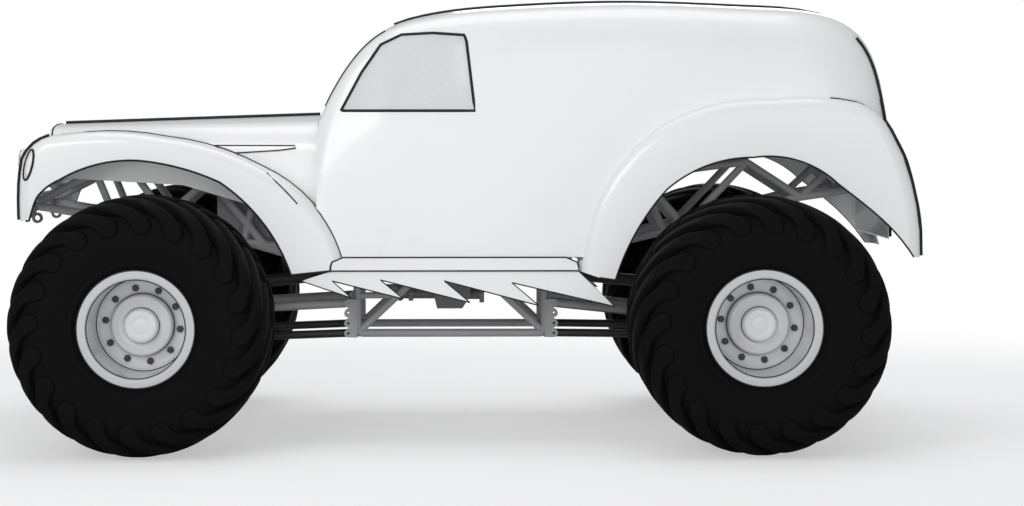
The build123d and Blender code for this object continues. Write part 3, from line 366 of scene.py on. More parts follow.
# ---------------------------------------------------------------------------
# Drive line: a cast alloy engine block and transfer case carried by the frame, and two
# steel driveshafts in black paint that run from the case to the axles.
# ---------------------------------------------------------------------------
cast = finish_material("cast_alloy", (0.16, 0.16, 0.17), (0.4, 0.4, 0.42), rough=0.55, metal=0.4,
                       grain=(260.0, 0.5), wear=0.8, dust=0.3)
turned = finish_material("turned_steel", (0.36, 0.36, 0.38), (0.6, 0.6, 0.62), rough=0.32,
                         metal=0.9, grain=(700.0, 0.2), wear=0.5, dust=0.12)
shaft_paint = finish_material("shaft_black", (0.010, 0.010, 0.011), (0.12, 0.12, 0.12), rough=0.45,
                              grain=(500.0, 0.2), wear=0.5, dust=0.1)
for node in ("engine_block", "transfer_case"):
    dressed(node, cast, 35)
dressed("driveshafts", shaft_paint, 40)

# ---------------------------------------------------------------------------
# Axles, knuckles and steering: cast steel housings and knuckles in black chassis paint,
# tie rods of bright turned steel, and rams whose rods are hard chromed.
# ---------------------------------------------------------------------------
black_paint = finish_material("chassis_black", (0.022, 0.022, 0.024), (0.16, 0.16, 0.17),
                              rough=0.38, grain=(500.0, 0.2), wear=0.7, dust=0.2)
chromed = finish_material("hard_chrome", (0.62, 0.62, 0.64), (0.8, 0.8, 0.8), rough=0.09,
                          metal=1.0, grain=(900.0, 0.03), wear=0.2, dust=0.05)
for end in ("front", "rear"):
    dressed("axle_" + end, black_paint, 40)
    dressed("tie_rod_" + end, turned, 40)
    dressed("ram_rod_" + end, chromed, 40)
    for side in ("left", "right"):
        dressed("knuckle_" + end + "_" + side, black_paint, 40)

# ---------------------------------------------------------------------------
# Suspension: four-link bars of steel tube, the upper ones powder coated grey and the
# lower ones painted black, and nitrogen shocks with bright bodies.
# ---------------------------------------------------------------------------
LOWER_BAR_TOP = 0.84        # height that parts the lower bars from the upper
links_piece = dressed("suspension_links", powder, 40)
links_piece.data.materials.append(shaft_paint)
for face in links_piece.data.polygons:
    if face.center.z < LOWER_BAR_TOP:
        face.material_index = 1
shock_metal = finish_material("shock_body", (0.42, 0.42, 0.44), (0.7, 0.7, 0.72), rough=0.3,
                              metal=0.85, grain=(800.0, 0.1), wear=0.4, dust=0.1)
dressed("shocks", shock_metal, 40)

# ---------------------------------------------------------------------------
# Wheels: deep-dish steel rims in light grey paint with a rolled lip, a planetary hub
# and cap, and ten dark nuts on the disc.
# ---------------------------------------------------------------------------
AXLE_X, AXLE_Z, WHEEL_Y = 2.0, 0.838, 1.355
# Sections of the rim's outside and back as radius and distance from the truck's middle.
RIM_PROFILE = (
    (0.377, 1.8115), (0.3768, 1.8165), (0.3745, 1.8190), (0.371, 1.8198), (0.330, 1.8198),
    (0.324, 1.8190), (0.3200, 1.8150), (0.3135, 1.8000), (0.3130, 1.7930), (0.3130, 1.6000),
    (0.3130, 1.4200), (0.3100, 1.4120), (0.3040, 1.4105), (0.2900, 1.4102), (0.2860, 1.4140),
    (0.2700, 1.4150), (0.2250, 1.4150), (0.2080, 1.4140), (0.2040, 1.4110), (0.2010, 1.4130),
    (0.2000, 1.4170), (0.2000, 1.4800), (0.1985, 1.4860), (0.1880, 1.4990), (0.1840, 1.5010),
    (0.1500, 1.5015), (0.1460, 1.5045), (0.1420, 1.5045), (0.1380, 1.5015), (0.1160, 1.5015),
    (0.1140, 1.5035), (0.1140, 1.5380), (0.1125, 1.5430), (0.1000, 1.5555), (0.0960, 1.5575),
    (0.0600, 1.5580), (0.0560, 1.5560), (0.0520, 1.5560), (0.0480, 1.5578), (0.0, 1.5580),
)
BACK_PROFILE = (
    (0.0, 1.3900), (0.149, 1.3900), (0.1500, 1.3880), (0.3120, 1.3920), (0.3130, 1.3900),
    (0.3130, 0.9200), (0.3160, 0.9100), (0.3220, 0.8900), (0.3700, 0.8895), (0.3768, 0.8920),
    (0.3770, 0.8985), (0.3360, 0.8992), (0.3360, 0.9600), (0.3220, 0.9900), (0.3220, 1.7200),
    (0.3360, 1.7500), (0.3360, 1.8108), (0.3770, 1.8115),
)
FLANGE_R = 0.314            # beyond this radius the rim is painted darker grey: painted shade on the lit flange
# Thin black rings sealed into the wheel's corners, as radius and distance from the middle.
SEALS = ((0.3745, 1.8185), (0.3150, 1.8080), (0.3030, 1.4112), (0.2025, 1.4125), (0.1148, 1.5025))
SEAL_TUBE = 0.0042
NUTS, NUT_FIRST, NUT_CIRCLE, NUT_SEAT = 10, 7, 0.242, 1.4148
NUT_R, NUT_HIGH = 0.0240, 0.020
# Section of a chamfered nut with its stud, as shares of its radius and height.
NUT_PROFILE = ((1.0, 0.0), (1.0, 0.75), (0.84, 1.0), (0.45, 1.0), (0.42, 1.35), (0.0, 1.4))


def lathe(profile, n, side, centre):
    """A surface of revolution about a line along Y; side -1 mirrors it to the right."""
    verts, faces = [], []
    for r, y in profile:
        for k in range(n):
            t = 2 * math.pi * k / n
            verts.append((centre[0] + r * math.cos(t), side * y, centre[1] + r * math.sin(t)))
    for i in range(len(profile) - 1):
        for k in range(n):
            a, b = i * n + k, i * n + (k + 1) % n
            c, d = b + n, a + n
            faces.append((a, b, c, d) if side > 0 else (d, c, b, a))
    return verts, faces


def append(parts, more):
    """Add a mesh's points and faces to those gathered so far."""
    verts, faces = parts
    shift = len(verts)
    verts += more[0]
    faces += [tuple(i + shift for i in f) for f in more[1]]


def hex_nut(centre, across, high, side, turn):
    """A chamfered nut standing outwards from (x, y, z)."""
    verts, faces = [], []
    for r, lift in NUT_PROFILE:
        for k in range(6):
            t = turn + math.pi * k / 3
            verts.append((centre[0] + r * across * math.cos(t), centre[1] + side * lift * high,
                          centre[2] + r * across * math.sin(t)))
    for i in range(len(NUT_PROFILE) - 1):
        for k in range(6):
            a, b = i * 6 + k, i * 6 + (k + 1) % 6
            faces.append((a, b, b + 6, a + 6) if side > 0 else (a + 6, b + 6, b, a))
    return verts, faces


# Painted light: the rim's one light grey paint is given as two colours. The flange, which faces the
# lights, is painted darker (painted shade), and the shaded dish, hub and back are painted lighter
# (painted light), so the rim looks evenly grey.
flange_painted_shade = finish_material("flange_grey_painted_shade", (0.50, 0.50, 0.51), (0.6, 0.6, 0.6), rough=0.36,
                               grain=(600.0, 0.12), wear=0.5, dust=0.12, coat=0.3)
dish_painted_light = finish_material("wheel_grey_painted_light", (0.68, 0.68, 0.69), (0.78, 0.78, 0.78), rough=0.36,
                            grain=(600.0, 0.12), wear=0.5, dust=0.12, coat=0.3)
nut_steel = finish_material("dark_nuts", (0.008, 0.008, 0.009), (0.08, 0.08, 0.08), rough=0.4,
                            grain=(500.0, 0.2), wear=0.6, dust=0.1)
ENDS = (("front", 1), ("rear", -1))
SIDES = (("left", 1), ("right", -1))
for end, ex in ENDS:
    for side_name, side in SIDES:
        tag = end + "_" + side_name
        hub = (MID_X + ex * AXLE_X, AXLE_Z)
        parts = ([], [])
        append(parts, lathe(RIM_PROFILE, 128, side, hub))
        append(parts, lathe(BACK_PROFILE, 96, side, hub))
        wheel = mesh_piece("wheel_" + tag + "_rim", *parts, body="wheel_" + tag, smooth=38)
        wheel.data.materials.append(dish_painted_light)
        wheel.data.materials.append(flange_painted_shade)
        # Faces beyond FLANGE_R take the darker painted-shade grey and the rest the lighter painted-light
        # grey; the real rim has one paint.
        for face in wheel.data.polygons:
            if math.hypot(face.center.x - hub[0], face.center.z - hub[1]) > FLANGE_R:
                face.material_index = 1
        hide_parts("wheel_" + tag)
        nuts = ([], [])
        for r, y in SEALS:
            ring = [(r + SEAL_TUBE * math.cos(a), y + SEAL_TUBE * math.sin(a))
                    for a in [math.pi * j / 4 for j in range(9)]]
            append(nuts, lathe(ring, 96, side, hub))
        for k in range(NUTS):
            t = math.radians(NUT_FIRST + 360 / NUTS * k)
            at = (hub[0] + NUT_CIRCLE * math.cos(t), side * NUT_SEAT, hub[1] + NUT_CIRCLE * math.sin(t))
            append(nuts, hex_nut(at, NUT_R, NUT_HIGH, side, t))
        nuts = mesh_piece("wheel_" + tag + "_nuts", *nuts, body="wheel_" + tag, smooth=25)
        nuts.data.materials.append(nut_steel)

# ---------------------------------------------------------------------------
# Terra tyres: a round carcass with rim ribs, and twenty hooked lugs a side that start
# near the middle of the tread, trail back over the shoulder and end in a round knob on
# the sidewall, staggered from side to side.
# ---------------------------------------------------------------------------
# Half section of the carcass: across and radius in metres.
CARCASS = (
    (0.4565, 0.350), (0.4565, 0.3835), (0.462, 0.392), (0.478, 0.400), (0.486, 0.410),
    (0.482, 0.420), (0.486, 0.430), (0.499, 0.455), (0.511, 0.500), (0.519, 0.550),
    (0.522, 0.600), (0.519, 0.650), (0.508, 0.695), (0.488, 0.730), (0.455, 0.754),
    (0.400, 0.768), (0.300, 0.778), (0.200, 0.785), (0.100, 0.789), (0.0, 0.790),
)
# Crown of the lugs: across and radius in metres.
CROWN = (
    (-0.020, 0.8380), (0.066, 0.8385), (0.150, 0.8375), (0.250, 0.8350), (0.330, 0.8310),
    (0.400, 0.8230), (0.460, 0.8090), (0.500, 0.7900), (0.524, 0.7660), (0.538, 0.7380),
    (0.5435, 0.7160), (0.5450, 0.6960), (0.5450, 0.6740), (0.5440, 0.6450), (0.5410, 0.6150),
    (0.5350, 0.5900),
)
# Middle line of a lug: distance along the crown from its first point in metres, trail in
# degrees, half width on the outer side and on the hooked side in metres.
LUG_LINE = (
    (0.086, 1.6, 0.044, 0.044), (0.170, 6.0, 0.044, 0.044), (0.270, 11.0, 0.044, 0.044),
    (0.350, 15.2, 0.044, 0.044), (0.420, 19.5, 0.045, 0.044), (0.482, 24.0, 0.045, 0.043),
    (0.526, 27.3, 0.045, 0.041), (0.560, 31.0, 0.044, 0.039), (0.591, 34.2, 0.043, 0.040),
    (0.614, 36.6, 0.042, 0.052), (0.634, 38.9, 0.042, 0.068), (0.656, 40.9, 0.042, 0.074),
)
KNOB_R = 0.058
# Grown outline and depth below the crown, from the foot of a lug to its flat top.
LUG_LEVELS = ((0.016, -0.064), (0.009, -0.034), (0.003, -0.012), (-0.003, -0.0035),
              (-0.011, -0.0005), (-0.022, 0.0))
LUGS = 20
ARC = 5                     # points between the flank and the tip of a lug's round ends

rubber, nodes, links, shader = plain_material("tread_rubber")
grain_node = nodes.new("ShaderNodeGroup")
grain_node.node_tree = grain_tree
grain_node.inputs["Scale"].default_value = 180.0
grain_node.inputs["Strength"].default_value = 0.35
grain_node.inputs["Distance"].default_value = 0.001
grain_node.inputs["Mottle Scale"].default_value = 4.0
dust_node = nodes.new("ShaderNodeGroup")
dust_node.node_tree = dust_tree
dust_node.inputs["Amount"].default_value = 0.10
wear_node = nodes.new("ShaderNodeGroup")
wear_node.node_tree = wear_tree
wear_node.inputs["Amount"].default_value = 0.5
tone = nodes.new("ShaderNodeMix")
tone.data_type = "RGBA"
tone.inputs[6].default_value = (0.0030, 0.0030, 0.0032, 1)
tone.inputs[7].default_value = (0.0048, 0.0048, 0.0050, 1)
links.new(grain_node.outputs["Mottle"], tone.inputs[0])
rub = nodes.new("ShaderNodeMix")
rub.data_type = "RGBA"
rub.inputs[7].default_value = (0.012, 0.012, 0.012, 1)
links.new(wear_node.outputs["Mask"], rub.inputs[0])
links.new(tone.outputs[2], rub.inputs[6])
settle = nodes.new("ShaderNodeMix")
settle.data_type = "RGBA"
settle.inputs[7].default_value = (0.03, 0.028, 0.026, 1)
links.new(dust_node.outputs["Mask"], settle.inputs[0])
links.new(rub.outputs[2], settle.inputs[6])
links.new(settle.outputs[2], shader.inputs["Base Color"])
spread = nodes.new("ShaderNodeMapRange")
spread.inputs["To Min"].default_value = 0.62
spread.inputs["To Max"].default_value = 0.80
links.new(grain_node.outputs["Mottle"], spread.inputs["Value"])
links.new(spread.outputs["Result"], shader.inputs["Roughness"])
links.new(grain_node.outputs["Normal"], shader.inputs["Normal"])
shader.inputs["Specular IOR Level"].default_value = 0.06


def spline(rows, steps):
    """Rows of numbers on a smooth curve through the given ones."""
    last = len(rows) - 1
    out = []
    for k in range(last):
        p = [rows[max(k - 1, 0)], rows[k], rows[k + 1], rows[min(k + 2, last)]]
        for i in range(steps):
            t = i / steps
            out.append([0.5 * (2 * b + (c - a) * t + (2 * a - 5 * b + 4 * c - d) * t ** 2
                               + (3 * b - a - 3 * c + d) * t ** 3) for a, b, c, d in zip(*p)])
    out.append(list(rows[-1]))
    return out


def crown_table():
    """Distance along the crown, across, radius and outward normal."""
    rows = spline(CROWN, 4)
    out, run = [], 0.0
    for k, (y, r) in enumerate(rows):
        if k:
            run += math.hypot(y - rows[k - 1][0], r - rows[k - 1][1])
        y0, r0 = rows[max(k - 1, 0)]
        y1, r1 = rows[min(k + 1, len(rows) - 1)]
        size = math.hypot(y1 - y0, r1 - r0)
        out.append((run, y, r, (r0 - r1) / size, (y1 - y0) / size))
    return out


def crown_at(table, s):
    """Across, radius and outward normal at a distance along the crown."""
    k = 0
    while k < len(table) - 2 and table[k + 1][0] < s:
        k += 1
    a, b = table[k], table[k + 1]
    t = (s - a[0]) / (b[0] - a[0])
    return [p + (q - p) * t for p, q in zip(a[1:], b[1:])]


def lug_outlines(table):
    """Closed outlines of a lug, one per level, as distance along the crown and trail in rad.

    Each runs up the outer flank, round the knob, down the hooked flank and round the start."""
    line = spline(LUG_LINE, 2)
    spots = []
    for k, (s, trail, outer, hooked) in enumerate(line):
        a, b = line[max(k - 1, 0)], line[min(k + 1, len(line) - 1)]
        r = crown_at(table, s)[1]
        ds, du = b[0] - a[0], math.radians(b[1] - a[1]) * r
        size = math.hypot(ds, du)
        spots.append((s, math.radians(trail), outer, hooked, ds / size, du / size))

    def moved(spot, ahead, hook):
        """The place some way ahead of a spot and towards its hooked side."""
        s = spot[0] + ahead * spot[4] + hook * spot[5]
        u = ahead * spot[5] - hook * spot[4]
        return s, spot[1] + u / crown_at(table, s)[1]

    levels = []
    for grow, deep in LUG_LEVELS:
        first, last = spots[0], spots[-1]
        loop = [moved(p, 0.0, -p[2] - grow) for p in spots]
        shift = last[3] - KNOB_R
        for i in range(1, 2 * ARC):
            a = math.pi * i / (2 * ARC)
            loop.append(moved(last, (KNOB_R + grow) * math.sin(a), shift - (KNOB_R + grow) * math.cos(a)))
        loop += [moved(p, 0.0, p[3] + grow) for p in reversed(spots)]
        for i in range(1, 2 * ARC):
            a = math.pi * i / (2 * ARC)
            loop.append(moved(first, -(first[2] + grow) * math.sin(a), (first[2] + grow) * math.cos(a)))
        levels.append((deep, loop))
    return levels, len(spots)


def tyre_lug(table, levels, count, side, start):
    """One lug standing on the carcass: flanks, rounded edges and crown."""
    verts, faces = [], []
    for deep, loop in levels:
        for s, trail in loop:
            y, r, ny, nr = crown_at(table, s)
            t = math.radians(start) + trail
            rr = r + nr * deep
            verts.append((rr * math.cos(t), side * (y + ny * deep), rr * math.sin(t)))
    m = len(levels[0][1])
    for i in range(len(levels) - 1):
        for j in range(m):
            a, b = i * m + j, i * m + (j + 1) % m
            faces.append((b, a, a + m, b + m))
    top = (len(levels) - 1) * m
    up = [top + j for j in range(count + ARC - 1)]
    down = [top + j for j in range(count + 2 * ARC - 1 + count - 1, count + ARC - 1, -1)]
    tip = top + count + ARC - 1
    back = [top + (m - j) % m for j in range(ARC + 1)]
    rows = list(zip(up, down[:len(up)]))
    for (a, b), (c, d) in zip(rows, rows[1:]):
        faces.append((a, b, d, c))
    faces.append((rows[-1][0], rows[-1][1], tip))
    ends = list(range(count + 2 * ARC - 1 + count, m))
    pairs = [(top, top + count + 2 * ARC - 1 + count - 1)]
    half = len(ends) // 2
    for i in range(half):
        pairs.append((top + ends[-1 - i], top + ends[i]))
    for (a, b), (c, d) in zip(pairs, pairs[1:]):
        faces.append((c, d, b, a))
    faces.append((pairs[-1][1], pairs[-1][0], top + ends[half]))
    return verts, faces if side > 0 else [tuple(reversed(f)) for f in faces]


def tyre_parts():
    """A left tyre about its own middle."""
    parts = ([], [])
    profile = [(r, y) for y, r in CARCASS] + [(r, -y) for y, r in reversed(CARCASS[:-1])]
    append(parts, lathe(profile, 160, 1, (0.0, 0.0)))
    table = crown_table()
    levels, count = lug_outlines(table)
    for k in range(LUGS):
        append(parts, tyre_lug(table, levels, count, 1, 270 + 360 / LUGS * k))
        append(parts, tyre_lug(table, levels, count, -1, 270 + 360 / LUGS * (k + 0.5)))
    return parts


tyre_verts, tyre_faces = tyre_parts()
for end, ex in ENDS:
    for side_name, side in SIDES:
        tag = end + "_" + side_name
        at = (MID_X + ex * AXLE_X, side * WHEEL_Y, AXLE_Z)
        verts = [(at[0] + x, at[1] + side * y, at[2] + z) for x, y, z in tyre_verts]
        faces = tyre_faces if side > 0 else [tuple(reversed(f)) for f in tyre_faces]
        tyre = mesh_piece("tyre_" + tag + "_tread", verts, faces, body="wheel_" + tag, smooth=50)
        tyre.data.materials.append(rubber)
        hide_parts("tyre_" + tag)

# ---------------------------------------------------------------------------
# Body shell: glass-fibre panels in a white gel coat, glossy over a faint orange peel, laid
# up in two halves and fixed to the frame. Nothing on it opens.
# ---------------------------------------------------------------------------
gel = finish_material("white_gel_coat", (0.84, 0.84, 0.835), (0.88, 0.88, 0.87), rough=0.30,
                      grain=(350.0, 0.03), wear=0.2, dust=0.03, mottle=0.015, coat=0.5,
                      coat_rough=0.08, spec=0.4)
for node in ("roof_panel", "hood", "front_fenders", "side_panel_left", "side_panel_right", "cowl",
             "rear_doors", "running_boards", "side_skirts"):
    dressed(node, gel, 28)


def ease(value, low, high):
    """0 below low, 1 above high and smooth in between."""
    t = min(max((value - low) / (high - low), 0.0), 1.0)
    return t * t * (3 - 2 * t)


TAIL_SWELL, NOSE_DROP = 0.055, 0.062


def shaped(p):
    """The rear fenders' tails swell back in a full curve; the front ones' noses drop to a tip."""
    x, y, z = p
    clear_of_door = max(ease(abs(y), 0.70, 0.78), 1 - ease(z, 1.27, 1.35))
    tail = ease(-x, 2.45, 2.95) * clear_of_door * (1 - ease(z, 1.85, 2.25))
    x -= TAIL_SWELL * tail * (0.5 + 0.5 * ease(z, 1.15, 1.55))
    z -= NOSE_DROP * ease(x, 2.86, 2.93) * ease(abs(y), 0.69, 0.75) * (1 - ease(z, 1.555, 1.75))
    return Vector((x, y, z))


for node in ("side_panel_left_skin", "side_panel_right_skin", "front_fenders_skin"):
    for v in bpy.data.objects[node].data.vertices:
        v.co = shaped(v.co)

# ---------------------------------------------------------------------------
# Rubber trim: round black beads glued to the shell. They cap the arches, lie in the joint of
# fenders and hood, frame windows and lamps, bind the boards, guard the fenders' front and
# rear edges and cover the joint of the shell's two halves.
# ---------------------------------------------------------------------------
welt_rubber = finish_material("welt_rubber", (0.006, 0.006, 0.006), (0.03, 0.03, 0.03), rough=0.55,
                              grain=(600.0, 0.2), wear=0.3, dust=0.05, spec=0.3)


def edge_lines(node, keep, angle=40):
    """Lines of points along those sharp edges of a node that keep(middle, normals) picks."""
    bm = bmesh.new()
    bm.from_mesh(frame["nodes"][node].data)
    bmesh.ops.remove_doubles(bm, verts=bm.verts, dist=0.00002)
    picked = {}
    for e in bm.edges:
        if len(e.link_faces) != 2 or e.calc_face_angle(0.0) < math.radians(angle):
            continue
        middle = (e.verts[0].co + e.verts[1].co) / 2
        if keep(middle, [f.normal for f in e.link_faces]):
            picked[e] = False
    lines = []
    for e in picked:
        if picked[e]:
            continue
        picked[e] = True
        ends = []
        for v in e.verts:
            walk = [v]
            while True:
                ways = [x for x in walk[-1].link_edges if x in picked]
                ahead = [x for x in ways if not picked[x]]
                if len(ways) != 2 or not ahead:
                    break
                picked[ahead[0]] = True
                walk.append(ahead[0].other_vert(walk[-1]))
            ends.append(walk)
        line = [shaped(v.co) for v in reversed(ends[0])] + [shaped(v.co) for v in ends[1]]
        lines.append(line)
    bm.free()
    return lines


def bead(points, radius, sides=8):
    """A round tube through points; its ends are closed unless they meet."""
    points = [Vector(p) for p in points]
    points = [p for k, p in enumerate(points) if k == 0 or (p - points[k - 1]).length > 0.0005]
    loop = (points[0] - points[-1]).length < 0.001
    if loop:
        points.pop()
    n = len(points)
    verts, faces = [], []
    side = None
    for k, p in enumerate(points):
        before = points[k - 1] if (k or loop) else p
        after = points[(k + 1) % n] if (k < n - 1 or loop) else p
        way = (after - before).normalized()
        if side is None:
            side = way.orthogonal().normalized()
        side = (side - way * side.dot(way)).normalized()
        other = way.cross(side)
        for j in range(sides):
            t = 2 * math.pi * j / sides
            verts.append(tuple(p + radius * (math.cos(t) * side + math.sin(t) * other)))
    for i in range(n if loop else n - 1):
        for j in range(sides):
            a, b = i * sides + j, i * sides + (j + 1) % sides
            c, d = ((i + 1) % n) * sides + (j + 1) % sides, ((i + 1) % n) * sides + j
            faces.append((a, b, c, d))
    if not loop:
        faces.append(tuple(reversed(range(sides))))
        faces.append(tuple((n - 1) * sides + j for j in range(sides)))
    return verts, faces


def outward(normals, least):
    """Whether one of the faces looks out sideways."""
    return max(abs(n.y) for n in normals) > least


def welt_piece(name, picks):
    """One piece from rows of node, radius and test."""
    parts = ([], [])
    for node, radius, keep in picks:
        for line in edge_lines(node, keep):
            if sum((q - p).length for p, q in zip(line, line[1:])) > 0.05:
                append(parts, bead(line, radius))
    piece = mesh_piece(name, *parts, body="chassis", smooth=60)
    piece.data.materials.append(welt_rubber)
    return piece


SIDE = 0.9945               # half width at which the shell's outermost edges lie
welt_piece("arch_welts", (
    ("front_fenders", 0.007, lambda p, n: abs(p.y) > SIDE and p.z < 1.95),
    ("side_panel_left", 0.006, lambda p, n: abs(p.y) > SIDE and p.x < -0.9),
    ("side_panel_right", 0.006, lambda p, n: abs(p.y) > SIDE and p.x < -0.9),
))
welt_piece("fender_welts", (
    ("front_fenders", 0.0065,
     lambda p, n: 0.40 < abs(p.y) < 0.95 and p.x < 2.98 and max(m.z for m in n) > 0.25 and p.z > 1.26),
    ("side_panel_left", 0.009, lambda p, n: p.x < -2.44 and 2.18 < p.z < 2.4 and abs(p.y) > 0.74),
    ("side_panel_right", 0.009, lambda p, n: p.x < -2.44 and 2.18 < p.z < 2.4 and abs(p.y) > 0.74),
))
welt_piece("hood_lip", (
    ("hood", 0.006, lambda p, n: p.x > 2.855 and max(m.x for m in n) > 0.7 and p.z > 1.85
     and max(max(abs(m.y), m.z) for m in n) > 0.5),
))
welt_piece("window_gaskets", (
    ("side_windows", 0.010, lambda p, n: outward(n, 0.8)),
    ("windshield", 0.010, lambda p, n: max(m.x for m in n) > 0.3),
    ("rear_windows", 0.008, lambda p, n: min(m.x for m in n) < -0.6),
))
welt_piece("board_welts", (
    ("running_boards", 0.005, lambda p, n: abs(p.y) > SIDE),
    ("side_skirts", 0.0045, lambda p, n: outward(n, 0.8) and p.z < 1.15),
))
# Starts of the lines that find the shell, all outside it: beside, above and beyond its ends.
BESIDE, ABOVE, BEYOND, FAR_BEYOND = 2.0, 4.0, 4.0, 5.0
MIDDLE_Y = 0.004            # just off the middle, so that no line runs along a panel's edge


def lying(node, starts, way, lift=0.0):
    """Points lifted off a node's surface, where lines from the starts first meet it."""
    bm = bmesh.new()
    bm.from_mesh(frame["nodes"][node].data)
    tree = BVHTree.FromBMesh(bm)
    bm.free()
    hits = [tree.ray_cast(Vector(p), Vector(w)) for p, w in zip(starts, way)]
    return [shaped(h[0] + lift * h[1]) for h in hits if h[0]]


def strip_piece(name, lines, radius):
    """One piece of round strips that lie on a surface."""
    parts = ([], [])
    for line in lines:
        append(parts, bead(line, radius))
    piece = mesh_piece(name, *parts, body="chassis", smooth=60)
    piece.data.materials.append(welt_rubber)
    return piece


# A short raised crease runs down the rear of each front fender.
CREASE = ((1.414, 1.862), (1.350, 1.812), (1.281, 1.748), (1.215, 1.684), (1.144, 1.606))
CREASE_R = 0.005
strip_piece("fender_creases", [
    lying("front_fenders", [(x, side * BESIDE, z) for x, z in CREASE], [(0, -side, 0)] * len(CREASE))
    for _, side in SIDES], CREASE_R)

# Edge guards run down the rearmost line of the rear fenders and the foremost of the front ones.
ACROSS = [0.70 + 0.01 * k for k in range(30)]
OUTER_PULL = 0.16           # how much a point further out is preferred to one further ahead


def crest(node, side, ahead, levels, lift):
    """The line of a fender that reaches furthest ahead, level by level."""
    line = []
    for z in levels:
        starts = [(FAR_BEYOND * ahead, side * y, z) for y in ACROSS]
        row = lying(node, starts, [(-ahead, 0, 0)] * len(ACROSS), lift)
        if row:
            line.append(max(row, key=lambda p: ahead * p.x + OUTER_PULL * abs(p.y)))
    return line


TAIL_LEVELS = [1.252 + 0.035 * k for k in range(31)]
NOSE_LEVELS = [1.562 + 0.026 * k for k in range(20)]
GUARD_LIFT, TAIL_GUARD_R, NOSE_GUARD_R = 0.007, 0.013, 0.012
strip_piece("tail_guards", [crest("side_panel_" + side_name, side, -1, TAIL_LEVELS, GUARD_LIFT)
                            for side_name, side in SIDES], TAIL_GUARD_R)
strip_piece("nose_guards", [crest("front_fenders", side, 1, NOSE_LEVELS, GUARD_LIFT)
                            for _, side in SIDES], NOSE_GUARD_R)

# The shell is moulded in two halves. A strip covers their joint: the hood's hinge, the
# roof's seam and the seal between the rear doors, which have one at each outer edge too.
HOOD_RUN = [1.04 + 0.0445 * k for k in range(41)]
HOOD_TIP = (2.182, 2.168, 2.154, 2.142)     # heights at which the hinge turns down the tip
HINGE_LIFT, SEAM_LIFT, DOOR_LIFT = 0.007, 0.009, 0.006
hinge = lying("hood", [(x, MIDDLE_Y, ABOVE) for x in HOOD_RUN], [(0, 0, -1)] * len(HOOD_RUN),
              HINGE_LIFT)
hinge += lying("hood", [(BEYOND, MIDDLE_Y, z) for z in HOOD_TIP], [(-1, 0, 0)] * len(HOOD_TIP),
               HINGE_LIFT)
# The roof is felt for along a fan of lines that close in on its heart.
HEART, FAN_R = Vector((-0.9, MIDDLE_Y, 2.10)), 6.0
ways = [Vector((math.cos(t), 0.0, math.sin(t))) for t in (math.radians(3.0 * k) for k in range(61))]
seam = lying("roof_panel", [HEART + FAN_R * w for w in ways], [-w for w in ways], SEAM_LIFT)
DOOR_LEVELS = [1.37 + 0.0354 * k for k in range(41)]
DOOR_EDGE_Y = 0.692
door_seals = [lying("rear_doors", [(-BEYOND, y, z) for z in DOOR_LEVELS],
                    [(1, 0, 0)] * len(DOOR_LEVELS), DOOR_LIFT)
              for y in (-DOOR_EDGE_Y, MIDDLE_Y, DOOR_EDGE_Y)]
CENTRE_R, DOOR_SEAL_R = 0.013, 0.011
strip_piece("centre_strips", [hinge, seam], CENTRE_R)
strip_piece("door_seals", door_seals, DOOR_SEAL_R)
welt_piece("lamp_gaskets", (
    ("front_fenders", 0.006, lambda p, n: p.x > 2.9 and 1.76 < p.z < 1.98 and max(m.x for m in n) > 0.6),
))
welt_piece("spear_welts", (
    ("hood", 0.0045, lambda p, n: 1.16 < p.x < 1.74 and 1.93 < p.z < 2.0 and outward(n, 0.8)),
))

# ---------------------------------------------------------------------------
# Nose: a grille and a bumper of silver metal fixed to the front clip, black steel tow eyes,
# and round lamps whose cans have the shell's white coat.
# ---------------------------------------------------------------------------
silver = finish_material("silver_trim", (0.6, 0.6, 0.61), (0.75, 0.75, 0.75), rough=0.25,
                         metal=0.9, grain=(500.0, 0.05), wear=0.3, dust=0.05)
for node in ("grille", "front_bumper"):
    dressed(node, silver, 35)
dressed("tow_eyes", black_paint, 40)
dressed("headlamps", gel, 35)

# Each lamp has a bowed lens of fluted glass in a silver ring.
LENS_R, LENS_BOW, LENS_RINGS, LENS_ROUND = 0.086, 0.009, 6, 40
LENS_TUBE = 0.006           # radius of the silver ring's tube
LAMP_X, LAMP_Y, LAMP_Z = 2.9965, 0.829, 1.872
lens_glass, nodes, links, shader = plain_material("fluted_lens")
shader.inputs["Roughness"].default_value = 0.08
shader.inputs["Coat Weight"].default_value = 0.6
where = nodes.new("ShaderNodeTexCoord")
flutes = nodes.new("ShaderNodeTexWave")
flutes.bands_direction = "Y"
flutes.inputs["Scale"].default_value = 28.0
cast_glass = nodes.new("ShaderNodeMix")
cast_glass.data_type = "RGBA"
cast_glass.inputs[6].default_value = (0.58, 0.60, 0.62, 1)
cast_glass.inputs[7].default_value = (0.84, 0.85, 0.86, 1)
ridge = nodes.new("ShaderNodeBump")
ridge.inputs["Strength"].default_value = 0.5
ridge.inputs["Distance"].default_value = 0.002
links.new(where.outputs["Object"], flutes.inputs["Vector"])
links.new(flutes.outputs["Fac"], cast_glass.inputs[0])
links.new(cast_glass.outputs[2], shader.inputs["Base Color"])
links.new(flutes.outputs["Fac"], ridge.inputs["Height"])
links.new(ridge.outputs["Normal"], shader.inputs["Normal"])
